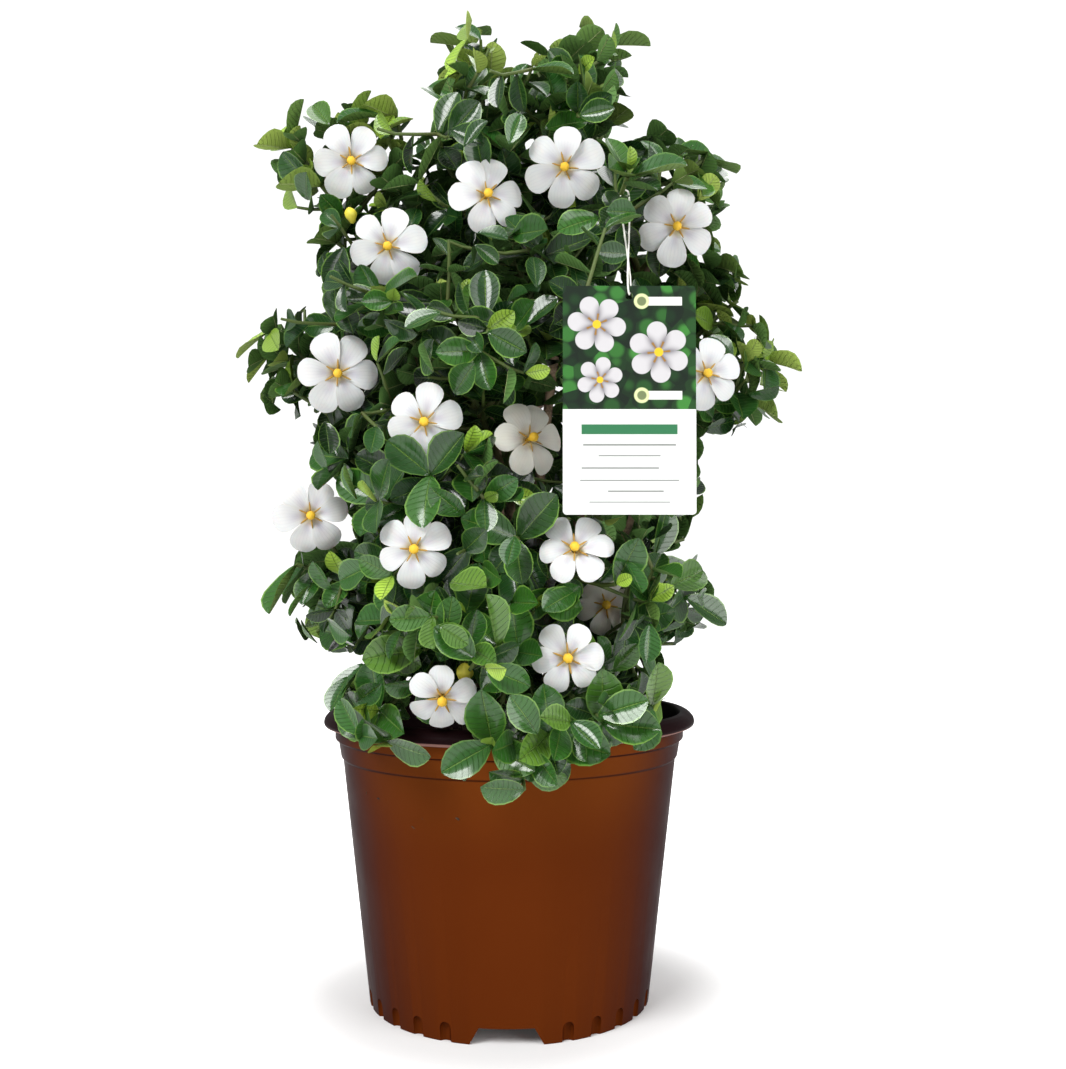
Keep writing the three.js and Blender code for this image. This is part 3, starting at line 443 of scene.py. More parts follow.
# The card's print, about its middle: flowers as (x, z, radius, turn), rounds with a bar beside them as (x, z,
# radius), rules as (x, z, width, height). Pictures are above the split, and rules below it.
PRINT_SPLIT = -6
PRINTED_FLOWERS = ((-21, 49, 19, 0.4), (19, 31, 20, 1.3), (-19, 13, 15, 2.2))
PRINTED_ROUNDS = ((8, 64, 5), (8, 3, 5))
PRINTED_RULES = (
    (0, -19, 62, 6.5), (0, -29, 60, 1.4), (0, -36, 40, 1.0), (-6, -44, 50, 1.2), (0, -52, 64, 1.0),
    (4, -59, 36, 1.2), (0, -66, 52, 0.8),
)


# Vectors, curves and draws


def unit(v):
    return v / np.linalg.norm(v)


def spun(v, axis, degrees):
    """The vector v turned round a unit axis."""
    angle = math.radians(degrees)
    along = axis * np.dot(axis, v)
    return v * math.cos(angle) + np.cross(axis, v) * math.sin(angle) + along * (1 - math.cos(angle))


def mix_of(a, b, share):
    return a + (b - a) * share


def draws(seed):
    """A function that gives a number from 0 to 1 at each call, the same series for the same seed."""
    state = (seed + 1) * 2654435761 & 0xFFFFFFFF

    def draw():
        nonlocal state
        state = (state * 1664525 + 1013904223) & 0xFFFFFFFF
        return state / 4294967296

    return draw


def varied(draw, span):
    """A number drawn from (least, how much more at most)."""
    least, more = span
    return least + more * draw()


class Line:
    """A cubic Bezier curve, asked for points at even shares of its length."""

    STEPS = 200

    def __init__(self, *corners):
        self.corners = [np.array(c, float) for c in corners]
        self.params = np.linspace(0, 1, self.STEPS + 1)
        points = self.point(self.params[:, None])
        self.lengths = np.concatenate([[0], np.cumsum(np.linalg.norm(np.diff(points, axis=0), axis=1))])
        self.length = self.lengths[-1]

    def point(self, t):
        a, b, c, d = self.corners
        s = 1 - t
        return a * s**3 + 3 * b * s * s * t + 3 * c * s * t * t + d * t**3

    def param(self, share):
        return float(np.interp(share * self.length, self.lengths, self.params))

    def at(self, share):
        return self.point(self.param(share))

    def heading(self, share):
        t = self.param(share)
        return unit(self.point(min(t + 1e-4, 1)) - self.point(max(t - 1e-4, 0)))


def stem_line(name):
    (x, y), bend, top = STEMS[name]
    splay = (x * STEM["spread"], y * STEM["spread"], MIX["top"] + STEM["rise"])
    return Line((x, y, MIX["top"] - STEM["sunk"]), splay, bend, top)


def tip_facing(tip):
    """The way a leafy tip grows: square out of the crown's outline, and a little up."""
    out = unit((np.array(tip, float) - CROWN_MIDDLE) / CROWN_REACH / CROWN_REACH)
    return unit(out + UP * CROWN_LIFT)


def shoot_line(start, end, facing, arch=0.0, bow=0.0):
    """A shoot's line from its fork to its end, which it reaches along `facing`."""
    aside = unit(np.cross(end - start, UP)) * bow
    early = mix_of(start, end, DRAWN["early"]) + UP * arch + aside
    late = end - facing * DRAWN["late"] * np.linalg.norm(end - start)
    return Line(start, early, late, end)


def fork_at(carrier, end):
    shares = [i / 20 for i in range(21)]
    nearest = min(shares, key=lambda share: np.linalg.norm(carrier.at(share) - end))
    return min(max(nearest - FORK["back"], FORK["first"]), FORK["last"])


def outward(grow, angle):
    """A direction square to the way that something grows, turned round it by an angle."""
    level = np.array((0.0, 1.0, 0.0)) if abs(grow[2]) > 0.95 else UP
    return spun(unit(np.cross(level, grow)), grow, angle)


def leaf_place(root, grow, around, lean):
    """A leaf's place as (root, across, along, face): it runs along its second axis and faces its third."""
    lean = math.radians(lean)
    along = grow * math.cos(lean) + outward(grow, around) * math.sin(lean)
    across = unit(np.cross(along, grow))
    return root, across, along, np.cross(across, along)


def whorl_of(draw, scale=1.0, lean=WHORL["lean"], first=None):
    """The (around, lean, length) of each leaf in a whorl."""
    step = 360 / WHORL["leaves"]
    first = draw() * step if first is None else first
    leaves = []
    for k in range(WHORL["leaves"]):
        around = first + k * step + WHORL["unevenness"] * (draw() - 0.5)
        tilt = lean + WHORL["lean_spread"] * draw()
        length = WHORL["length"] * (WHORL["shortest"] + WHORL["length_spread"] * draw())
        leaves.append((around, tilt, length * scale))
    return leaves


def on_leaf(place, length, side, u):
    """A point of a leaf: side runs from -1 to 1 across it, and u from 0 at its root to 1 at its tip."""
    root, across, along, face = place
    width, height = length * LEAF["width_share"], length * LEAF["fold"] * side**2
    return root + across * (side * width / 2) + along * (u * length) + face * height


def bloom_matrix(at, azimuth, elevation, roll):
    """A bloom's frame: its throat is the origin and it faces along +Z. Millimetres."""
    a, e = math.radians(azimuth), math.radians(elevation)
    facing = Vector((math.sin(a) * math.cos(e), -math.cos(a) * math.cos(e), math.sin(e)))
    side = Vector(UP).cross(facing).normalized()
    basis = Matrix((side, facing.cross(side), facing)).transposed().to_4x4()
    return Matrix.Translation(at) @ basis @ Matrix.Rotation(math.radians(roll), 4, "Z")


def facing_of(matrix):
    return np.array(matrix.to_3x3() @ Vector((0, 0, 1)))


def seen_at(p):
    """Where the camera sees a point: its x and z on the plane through the pot's axis."""
    start = CAMERA["place"]
    reach = start[1] / (start[1] - p[1])
    return start[0] + (p[0] - start[0]) * reach, start[2] + (p[2] - start[2]) * reach


def in_outline(p):
    """Whether a point stays within the crown's lobes from the front."""
    away = (np.array(seen_at(p)) - LOBES_AT) / LOBES_REACH
    return bool(np.any(np.einsum("ij,ij->i", away, away) < 1))


# What the plain solids hold


def solid_tree(names):
    """A search tree over these branches' faces, in millimetres."""
    points, faces = [], []
    for name in names:
        mesh = frame["nodes"][f"branch_{name}"].data
        first = len(points)
        points.extend(v.co / MM for v in mesh.vertices)
        faces.extend([first + i for i in polygon.vertices] for polygon in mesh.polygons)
    return BVHTree.FromPolygons(points, faces)


def off(tree, p):
    """How far a point is from a search tree's faces."""
    return tree.find_nearest(Vector(p))[3]


def branch_ends():
    """Each branch's shoots as (end, the way they face there, kind, seed): leafy tips, buds, then blooms."""
    ends, seed = {}, 0
    frames = iter(matrix for _, matrix, _ in BLOOMS)
    for name, branch in BRANCHES.items():
        found = [(np.array(tip, float), tip_facing(tip), "leafy") for tip in branch.tips]
        found += [(np.array(bud, float), tip_facing(bud), "bud") for bud in branch.buds]
        for _ in branch.blooms:
            matrix = next(frames)
            end = matrix @ Vector((0, 0, -BLOOM["tube_length"] - LOOP["clearance"]))
            found.append((np.array(end), facing_of(matrix), "bloom"))
        ends[name] = [(*end, seed + 1 + i) for i, end in enumerate(found)]
        seed += len(found)
    return ends


ALL_BLOOMS = [bloom for branch in BRANCHES.values() for bloom in branch.blooms]
BLOOMS = [(f"{i + 1:02d}", bloom_matrix(*bloom[:4]), bloom[4]) for i, bloom in enumerate(ALL_BLOOMS)]
ENDS = branch_ends()


def lines_as_solid(name, tree):
    """The lines of a branch's shoots, found again in its solid. The first, its axis, carries the rest."""
    branch, lines = BRANCHES[name], []
    for end, facing, kind, _ in ENDS[name]:
        carrier = lines[0] if lines else stem_line(branch.stem)
        fork = fork_at(carrier, end) if lines else branch.join
        steps = (TWIG if lines else AXIS)["steps"]
        best = None
        for slide, bow in SHOOT_WAYS:
            start = carrier.at(min(max(fork + slide, FORK["lowest"]), FORK["highest"]))
            line = shoot_line(start, end, facing, branch.arch, bow)
            shares = [i / steps for i in range(1, steps)]
            if kind == "bloom":
                shares = [0.5 * (1 - CALYX["length"] / line.length)]
            miss = sum(off(tree, line.at(share)) for share in shares)
            if best is None or miss < best[0] - 0.05:
                best = miss, line
        lines.append(best[1])
    return lines


class Crowd:
    """The points taken up so far, in cells as wide as the farthest that a new leaf is held off them."""

    def __init__(self, cell):
        self.cell = cell
        self.cells = {}

    def key(self, p):
        return tuple(int(math.floor(c / self.cell)) for c in p)

    def add(self, points):
        for p in points:
            self.cells.setdefault(self.key(p), []).append(p)

    def near(self, p, reach):
        x, y, z = self.key(p)
        for i in (x - 1, x, x + 1):
            for j in (y - 1, y, y + 1):
                for k in (z - 1, z, z + 1):
                    for q in self.cells.get((i, j, k), ()):
                        if (p[0] - q[0]) ** 2 + (p[1] - q[1]) ** 2 + (p[2] - q[2]) ** 2 < reach * reach:
                            return True
        return False


class Bush:
    """The shoots and leaves of every branch. Those of the plain solids come first, found again by the same
    rules, and then the rest of the growth between them."""

    # Points of a leaf that stand for it, as (side, share of its length): for its room, and to find it again
    SAMPLES = ((0, 0.35), (0, 0.68), (0, 1), (0.8, 0.5), (-0.8, 0.5), (0.75, 0.82), (-0.75, 0.82))
    CORNERS = ((0, 1), (0.9, 0.4), (-0.9, 0.4), (0.82, 0.78), (-0.82, 0.78))

    def __init__(self, settings):
        self.settings = settings
        self.shoots, self.twigs, self.leaves = ({name: [] for name in BRANCHES} for _ in range(3))
        self.crowd = Crowd(max(settings.apart, settings.fill_room, YOUNG_TIP["apart"]))
        self.foliage = solid_tree(BRANCHES)
        self.low, self.high = (np.array(corner) / MM for corner in SOLID_BOX)
        buds = [np.array(place, float) for _, place, _, _ in BUDS]
        self.throats = np.array([tuple(matrix.translation) for _, matrix, _ in BLOOMS] + buds)
        facings = [facing_of(matrix) for _, matrix, _ in BLOOMS]
        self.facings = np.array(facings + [unit(CAMERA["place"] - p) for p in buds])
        self.radii = np.array([BLOOM["radius"] * size for _, _, size in BLOOMS] + [ROOM["bud"]] * len(buds))
        self.sights = self.throats - CAMERA["place"]
        self.sights_squared = np.einsum("ij,ij->i", self.sights, self.sights)
        self.draw = draws(settings.seed)
        self.grow_as_solids()
        self.grow_rest()

    def grow_as_solids(self):
        trees = {name: solid_tree([name]) for name in BRANCHES}
        for name in BRANCHES:
            lines = lines_as_solid(name, trees[name])
            self.shoots[name] = [(line, kind) for line, (_, _, kind, _) in zip(lines, ENDS[name])]
            for line, kind in self.shoots[name]:
                self.add_shoot(name, line, kind)
        for name in BRANCHES:
            for (line, kind), (_, _, _, seed) in zip(self.shoots[name], ENDS[name]):
                if kind == "leafy":
                    self.whorl_as_solid(trees[name], name, line, seed)

    def add_shoot(self, name, line, kind):
        """The bar of a shoot, with the calyx cup at its end if it bears a bloom."""
        size = TWIG if self.twigs[name] else AXIS
        steps = max(4, round(line.length / 14))
        shares = [i / steps for i in range(steps + 1)]
        radii = [mix_of(size["base_radius"], size["tip_radius"], s) for s in shares]
        if kind == "bloom":
            cup = 1 - CALYX["length"] / line.length
            shares = [share * cup for share in shares]
            shares += [1 - CALYX["swell"] / line.length, 1 - CALYX["shoulder"] / line.length, 1]
            radii += [CALYX["foot_radius"], CALYX["radius"], CALYX["lip_radius"]]
        self.twigs[name].append(([line.at(s) for s in shares], radii, size["green"], 1.0))

    def whorl_as_solid(self, tree, name, line, seed):
        """The leaves of a solid's whorl that the photo's outline and blooms leave room for."""
        for around, lean, length in whorl_of(draws(seed)):
            for turn, further, size in LEAF_WAYS:
                place = leaf_place(line.at(1), line.heading(1), around + turn, lean + further)
                if sum(off(tree, on_leaf(place, length * size, *corner)) for corner in self.CORNERS) < 1.5:
                    middle, tip = (on_leaf(place, length * size, 0, u) for u in (0.55, 1))
                    seen = in_outline(middle) and seen_at(tip)[1] < CROWN_TOP
                    if seen and not self.hides_bloom(place, length * size):
                        self.add_leaf(name, place, length * size, AGE["solid"])
                    break

    def hides_bloom(self, place, length):
        """Whether a leaf stands before the middle of a bloom."""
        for sample in self.SAMPLES:
            share, beside = self.beside_sights(on_leaf(place, length, *sample))
            if np.any((share < 0.995) & (self.throats[:, 1] < 0) & (beside < self.radii * BLOOM_MIDDLE)):
                return True
        return False

    def beside_sights(self, p):
        """For each bloom, how far along the camera's line to its throat a point is, and how far beside it."""
        away = p - CAMERA["place"]
        share = (self.sights @ away) / self.sights_squared
        return share, np.linalg.norm(away / share[:, None] - self.sights, axis=1)

    def add_leaf(self, name, place, length, age):
        middle = on_leaf(place, length, 0, 0.6)
        chance = self.draw()
        for (x, z), reach in YOUNG.items():
            near = middle[1] < AGE["young_back"] and math.hypot(middle[0] - x, middle[2] - z) < reach
            if near and chance < AGE["young_share"]:
                age *= AGE["young"]
        # Painted shade: leaves deeper in the crown are made older and so darker, those near its outline
        # lighter
        depth = 1 - np.linalg.norm((middle - CROWN_MIDDLE) / CROWN_REACH)
        age += AGE["deep_shade"] * min(max(depth - AGE["shell"], -0.1), 0.5) + AGE["spread"] * (chance - 0.5)
        self.crowd.add([on_leaf(place, length, *sample) for sample in self.SAMPLES])
        self.leaves[name].append((place, length, min(max(age, 0), 1)))

    def is_open(self, p, margin):
        """Whether a point is in the crown's room: within the margin of the solids' box, and off the pot, the
        card, the blooms and the sight of them."""
        if np.any(p < self.low - margin) or np.any(p > self.high + margin):
            return False
        from_axis = math.hypot(p[0], p[1])
        if from_axis < POT["lip_radius"] + ROOM["pot"]:
            at_lip = p[2] < POT["height"] + ROOM["pot"] and from_axis > POT["body_top_radius"] - ROOM["lip"]
            if at_lip or p[2] < MIX["top"] + ROOM["mix"]:
                return False
        x, y, z = p - TAG_CENTRE
        level_with_card = abs(z) < TAG["height"] / 2 + ROOM["card"] and y < ROOM["behind_card"]
        if level_with_card and abs(x) < TAG["width"] / 2 + ROOM["card"]:
            return False
        away = p - self.throats
        ahead = np.einsum("ij,ij->i", away, self.facings)
        aside = np.linalg.norm(away - ahead[:, None] * self.facings, axis=1)
        behind = ahead <= -ROOM["throat"]
        before = ~behind & (ahead < ROOM["before_bloom"]) & (aside < self.radii * 0.98 + 1)
        at_tube = behind & (ahead > -ROOM["tube"]) & (aside < ROOM["beside_tube"])
        share, beside = self.beside_sights(p)
        in_sight = (share < 1) & (self.throats[:, 1] < 0) & (beside < self.radii * self.settings.bloom_view)
        return not np.any(before | at_tube | in_sight)

    def try_leaf(self, name, place, length, age, apart):
        points = [on_leaf(place, length, *sample) for sample in self.SAMPLES]
        if any(self.crowd.near(p, apart) for p in points):
            return
        if not all(self.is_open(p, PAST_BOX["leaf"]) for p in points):
            return
        if not all(in_outline(p) for p in points[:3]):
            return
        if off(self.foliage, points[2]) > self.settings.stray or off(self.foliage, points[0]) < 1.2:
            return
        self.add_leaf(name, place, length, age)

    def try_whorl(self, name, root, grow, leaves, age, apart):
        for around, lean, length in leaves:
            self.try_leaf(name, leaf_place(root, grow, around, lean), length, age, apart)

    def clothe(self, name, line, first, spacing, age, apart, scale=1.0, last=1.0):
        """Whorls down a shoot from near its tip, each turned half a step from the one before."""
        reach = line.length * last - CLOTHED["below_end"]
        half_step = 180 / WHORL["leaves"]
        turn = half_step * self.draw()
        while reach > first * line.length:
            share = reach / line.length
            size = scale * varied(self.draw, CLOTHED["size"])
            leaves = whorl_of(self.draw, size, varied(self.draw, CLOTHED["lean"]), turn)
            self.try_whorl(name, line.at(share), line.heading(share), leaves, age, apart)
            turn += half_step
            reach -= spacing * varied(self.draw, CLOTHED["spacing"])

    def young_tip(self, name, line):
        """Small young leaves, still upright, at the tip of some shoots."""
        if self.draw() < self.settings.young_share:
            new, grow = YOUNG_TIP, line.heading(1)
            leaves = whorl_of(self.draw, varied(self.draw, new["size"]), new["lean"])
            self.try_whorl(name, line.at(1) + grow * new["ahead"], grow, leaves, new["age"], new["apart"])

    def bear(self, name, kind, start, end, aim, apart):
        """A new shoot with its leaves, or nothing where it can't bear two of them."""
        line = shoot_line(start, end, unit(aim + kind["lift"] * tip_facing(end)))
        before, (at_tip, below) = len(self.leaves[name]), kind["ages"]
        tip = whorl_of(self.draw, varied(self.draw, kind["size"]), kind["tip_lean"])
        self.try_whorl(name, end, line.heading(1), tip, at_tip, apart)
        self.clothe(name, line, kind["bare"], kind["spacing"], below, apart, kind["scale"], kind["clothed"])
        if len(self.leaves[name]) - before < 2:
            return None
        self.young_tip(name, line)
        route = [line.at(share) for share in (0, 0.35, 0.7, 1)]
        self.twigs[name].append((route, kind["radii"], kind["green"], 1.0))
        return line

    def sprig(self, name, carrier, share, angle, length, apart):
        """A side sprig with its leaves, or nothing if there is no room for it."""
        start, grow = carrier.at(share), carrier.heading(share)
        lean = math.radians(varied(self.draw, SPRIG_LEAN))
        aim = unit(grow * math.cos(lean) + outward(grow, angle) * math.sin(lean))
        end = start + aim * length
        if not self.is_open(end, PAST_BOX["sprig"]) or off(self.foliage, end) > self.settings.stray:
            return None
        return self.bear(name, SPRIG, start, end, aim, apart)

    def grow_rest(self):
        """Leaves and side sprigs on the solids' shoots in two rounds, then young tips and more sprigs."""
        settings, shoot = self.settings, SHOOT
        sprigs = {name: [] for name in BRANCHES}
        for apart in (settings.apart, settings.apart * CLOSER):
            for name in BRANCHES:
                for line, kind in self.shoots[name]:
                    last = 1.0 if kind == "leafy" else 1 - shoot["below_bloom"] / line.length
                    self.clothe(name, line, shoot["bare"], shoot["spacing"], shoot["age"], apart, last=last)
            for name in BRANCHES:
                for line, _ in self.shoots[name]:
                    angle = 360 * self.draw()
                    reach = line.length * shoot["last_fork"] - shoot["below_end"]
                    while reach > shoot["first_fork"] * line.length:
                        length = settings.sprig_length * varied(self.draw, shoot["sprig_length"])
                        made = self.sprig(name, line, reach / line.length, angle, length, apart)
                        sprigs[name] += [made] if made else []
                        angle += GOLDEN_ANGLE
                        reach -= settings.sprig_spacing
            for name in BRANCHES:
                for line in sprigs[name]:
                    length = settings.sprig_length * shoot["second_length"]
                    for share in shoot["second_forks"]:
                        self.sprig(name, line, share, 360 * self.draw(), length, apart)
        for name in BRANCHES:
            for line, kind in self.shoots[name]:
                if kind == "leafy":
                    self.young_tip(name, line)
        self.grow_stems()
        for _ in range(settings.fill_rounds):
            self.fill()

    def grow_stems(self):
        """Sprigs straight off the upper stems, in the branch that each stem bears highest."""
        for stem in STEMS:
            line = stem_line(stem)
            names = [name for name in BRANCHES if BRANCHES[name].stem == stem]
            name = max(names, key=lambda one: BRANCHES[one].join)
            angle = 360 * self.draw()
            reach = line.length
            while reach > STEM_SPRIGS["bare"] * line.length:
                self.sprig(name, line, reach / line.length, angle, STEM_SPRIGS["length"], self.settings.apart)
                angle += GOLDEN_ANGLE
                reach -= STEM_SPRIGS["spacing"]

    def fill(self):
        """Sprigs into the room that is left, each from the nearest twig."""
        settings, draw = self.settings, self.draw
        spots = [(name, p) for name in BRANCHES for route, *_ in self.twigs[name] for p in route[1:]]
        tree = KDTree(len(spots))
        for i, (_, p) in enumerate(spots):
            tree.insert(p, i)
        tree.balance()
        apart = settings.apart * CLOSER
        for _ in range(settings.fill_tries):
            angle, height = 2 * math.pi * draw(), varied(draw, FILL["height"])
            level = math.sqrt(max(1 - height * height, 0))
            depth = varied(draw, FILL["depth"])
            way = np.array((math.sin(angle) * level, -math.cos(angle) * level, height))
            goal = CROWN_MIDDLE + CROWN_REACH * way * depth
            if not self.is_open(goal, PAST_BOX["filler"]) or not in_outline(goal):
                continue
            if self.crowd.near(goal, settings.fill_room):
                continue
            near, i, distance = tree.find(goal)
            in_reach = FILL["nearest"] < distance < settings.fill_reach
            if in_reach and off(self.foliage, goal) <= settings.stray * FILL["stray"]:
                start = np.array(near)
                self.bear(spots[i][0], FILLER, start, goal, unit(goal - start), apart)


# Meshes


def linked(name, mesh):
    """A mesh as a smooth object in the scene."""
    mesh.shade_smooth()
    piece = bpy.data.objects.new(name, mesh)
    bpy.context.scene.collection.objects.link(piece)
    return piece


def mesh_of(name, points, faces=(), edges=(), scale=MM):
    """A mesh from points in millimetres."""
    mesh = bpy.data.meshes.new(name)
    mesh.from_pydata([tuple(scale * c for c in p) for p in points], edges, faces)
    return mesh


def new_body(name, points, faces):
    """A closed body from points in millimetres, with its faces turned outwards."""
    piece = linked(name, mesh_of(name, points, faces))
    face_out(piece.data)
    return piece


def turned_body(name, section, sides, wobble=None):
    """A closed body turned about Z from a section that starts and ends on the axis or closes on itself."""
    on_axis = [abs(r) < 1e-9 for r, _ in section]
    points, rings, faces = [], [], []
    for (r, z), centre in zip(section, on_axis):
        rings.append(len(points))
        for j in range(1 if centre else sides):
            angle = 2 * math.pi * j / sides
            reach = r * (wobble(angle, z) if wobble else 1)
            points.append((reach * math.cos(angle), reach * math.sin(angle), z))
    pairs = list(zip(range(len(section)), range(1, len(section))))
    if not on_axis[0]:
        pairs.append((len(section) - 1, 0))
    for i, k in pairs:
        for j in range(0 if on_axis[i] and on_axis[k] else sides):
            n = (j + 1) % sides
            a = [rings[i]] if on_axis[i] else [rings[i] + j, rings[i] + n]
            b = [rings[k]] if on_axis[k] else [rings[k] + n, rings[k] + j]
            faces.append(a + b)
    return new_body(name, points, faces)


def mesh_from(work, mesh):
    """Ends the work on a mesh and keeps it in this one."""
    work.to_mesh(mesh)
    work.free()
    return mesh


def face_out(mesh):
    """Turns every face outwards."""
    work = bmesh.new()
    work.from_mesh(mesh)
    bmesh.ops.recalc_face_normals(work, faces=work.faces)
    mesh_from(work, mesh)


def softened(section, radius, steps=3):
    """A closed section with each sharp corner off the axis rounded by a small radius."""
    out = []
    for i, corner in enumerate(section):
        here = np.array(corner, float)
        a, b = (np.array(section[k % len(section)], float) - here for k in (i - 1, i + 1))
        if abs(here[0]) < 1e-9 or np.dot(unit(a), unit(b)) < -0.97:
            out.append(tuple(here))
            continue
        reach = min(radius, np.linalg.norm(a) * 0.4, np.linalg.norm(b) * 0.4)
        start, end = here + unit(a) * reach, here + unit(b) * reach
        for k in range(steps + 1):
            t = k / steps
            out.append(tuple(start * (1 - t) ** 2 + 2 * here * t * (1 - t) + end * t * t))
    return out


def fill_values(mesh, **layers):
    """Gives each point of a mesh its values: one for all, one each, or a vector each."""
    for name, values in layers.items():
        values = np.array(values, np.float32)
        vectors = values.ndim == 2
        layer = mesh.attributes.new(name, "FLOAT_VECTOR" if vectors else "FLOAT", "POINT")
        if not vectors:
            values = np.broadcast_to(values, len(mesh.vertices))
        layer.data.foreach_set("vector" if vectors else "value", values.ravel())


def lines_piece(name, lines, closed=False):
    """A mesh of lines. A line is its points, their radii, and how green it is at its start and end."""
    points, edges, girths, greens = [], [], [], []
    for route, radii, first, last in lines:
        start = len(points)
        points.extend(route)
        girths.extend(r * MM for r in radii)
        greens.extend(mix_of(first, last, i / max(len(route) - 1, 1)) for i in range(len(route)))
        edges.extend((i, i + 1) for i in range(start, len(points) - 1))
        if closed:
            edges.append((len(points) - 1, start))
    piece = linked(name, mesh_of(name, points, (), edges))
    fill_values(piece.data, girth=girths, green=greens)
    return piece


# A blade's map: half its width, and where its top and its underside start on it
MAP_HALF, MAP_TOP, MAP_UNDER = 0.24, 0.01, 0.51


def blade(name, rows, tops, surface, sink, scale=1.0):
    """A closed thin blade. Its rows are (share of its length, share of its half width). `surface` gives the
    point of its top at a side from -1 to 1, and its underside meets the top at the edges, `sink` lower in the
    middle. Its map runs across the top in the left half, across the underside in the right half, and up."""
    points, faces, corners, grid = [], [], [], []
    for u, half in rows:
        points.extend(surface(side, u, half) for side in tops)
        x, y, z = surface(0, u, half)
        grid.append((list(range(len(points) - len(tops), len(points))), len(points), u))
        points.append((x, y, z - sink(u)))
    tip = (len(points), 0, 1)
    points.append(surface(0, 1, 0))

    def face(first, *given):
        """A face from corners as (point, side, u), mapped from `first` on."""
        faces.append([point for point, _, _ in given])
        corners.extend((first + MAP_HALF * (side + 1), u) for _, side, u in given)

    over, under, last = MAP_TOP, MAP_UNDER, len(tops) - 1
    for (a, low, u), (b, high, v) in zip(grid, grid[1:]):
        for c in range(last):
            s, t = tops[c], tops[c + 1]
            face(over, (a[c], s, u), (a[c + 1], t, u), (b[c + 1], t, v), (b[c], s, v))
        face(under, (a[0], -1, u), (b[0], -1, v), (high, 0, v), (low, 0, u))
        face(under, (low, 0, u), (high, 0, v), (b[last], 1, v), (a[last], 1, u))
    row, low, u = grid[-1]
    for c in range(last):
        face(over, (row[c], tops[c], u), (row[c + 1], tops[c + 1], u), tip)
    face(under, (row[0], -1, u), tip, (low, 0, u))
    face(under, (low, 0, u), tip, (row[last], 1, u))
    row, low, u = grid[0]
    face(under, (low, 0, u), *((row[c], tops[c], u) for c in range(last, -1, -1)))
    mesh = mesh_of(name, points, faces, scale=scale)
    mesh.shade_smooth()
    layer = mesh.uv_layers.new(name="blade")
    for i, spot in enumerate(corners):
        layer.data[i].uv = spot
    sides = ([row[c] for row, _, _ in grid] + [tip[0]] for c in (0, last))
    rims = {tuple(sorted(pair)) for side in sides for pair in zip(side, side[1:])}
    for edge in mesh.edges:
        edge.use_edge_sharp = tuple(sorted(edge.vertices)) in rims
    return bpy.data.objects.new(name, mesh)


def finished(piece, slot, *nodes, material=None):
    """The piece rides with the plant, takes the material if one is given, and stands for these nodes, which
    are hidden. The slot is not used.
    """
    if material:
        piece.data.materials.clear()
        piece.data.materials.append(material)
    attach(piece, "root")
    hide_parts(*nodes)


# Node trees


class Value:
    """A socket's value. Plain sums on it add the nodes that work them out."""

    def __init__(self, socket):
        self.socket = socket
        self.tree = socket.id_data

    def __abs__(self):
        return calc("ABSOLUTE", self)

    def __gt__(self, other):
        return calc("GREATER_THAN", self, other)

    def __lt__(self, other):
        return calc("LESS_THAN", self, other)


def put(socket, value):
    if isinstance(value, Value):
        socket.id_data.links.new(value.socket, socket)
    else:
        socket.default_value = value


def add(tree, kind, inputs=None, output=0, **settings):
    """A node with its settings, and with its inputs set or linked. Gives one of its outputs."""
    node = tree.nodes.new(kind)
    for name, value in settings.items():
        setattr(node, name, value)
    for key, value in (inputs or {}).items():
        put(node.inputs[key], value)
    return Value(node.outputs[output]) if node.outputs else None


def calc(operation, *values):
    tree = next(value.tree for value in values if isinstance(value, Value))
    return add(tree, "ShaderNodeMath", dict(enumerate(values)), operation=operation)


def sum_of(operation):
    """The plain sum and its reverse, for a value with a number or another value."""
    return lambda a, b: calc(operation, a, b), lambda a, b: calc(operation, b, a)


Value.__add__, Value.__radd__ = sum_of("ADD")
Value.__sub__, Value.__rsub__ = sum_of("SUBTRACT")
Value.__mul__, Value.__rmul__ = sum_of("MULTIPLY")
Value.__truediv__, Value.__rtruediv__ = sum_of("DIVIDE")
Value.__pow__, Value.__rpow__ = sum_of("POWER")


def spread(value, low, high, first=0.0, last=1.0):
    """The value taken smoothly from low..high to first..last."""
    inputs = {"Value": value, "From Min": low, "From Max": high, "To Min": first, "To Max": last}
    return add(value.tree, "ShaderNodeMapRange", inputs, interpolation_type="SMOOTHSTEP")


def ridge(value, centre, width):
    """1 where the value is at the centre, falling to 0 at the width from it."""
    return spread(abs(value - centre), 0.0, width, 1.0, 0.0)


def painted(base, *coats):
    """A colour with others laid over it, each by its share."""
    for share, tone in coats:
        inputs = {0: share, 6: colour(base), 7: colour(tone)}
        base = add(share.tree, "ShaderNodeMix", inputs, output=2, data_type="RGBA")
    return base


def noise(place, scale, detail=3.0):
    return add(place.tree, "ShaderNodeTexNoise", {"Vector": place, "Scale": scale, "Detail": detail})


def parts_of(vector):
    """The X, Y and Z of a vector."""
    split = add(vector.tree, "ShaderNodeSeparateXYZ", {"Vector": vector})
    return [Value(socket) for socket in split.socket.node.outputs]


def length_of(vector):
    return add(vector.tree, "ShaderNodeVectorMath", {0: vector}, output="Value", operation="LENGTH")


def colour(tone):
    """A screen colour of 0 to 255 as a scene colour. A scene colour and a node's value stay as they are."""
    if isinstance(tone, Value) or len(tone) == 4:
        return tone
    return (*(c / 3294.6 if c <= 10 else ((c / 255 + 0.055) / 1.055) ** 2.4 for c in tone), 1.0)


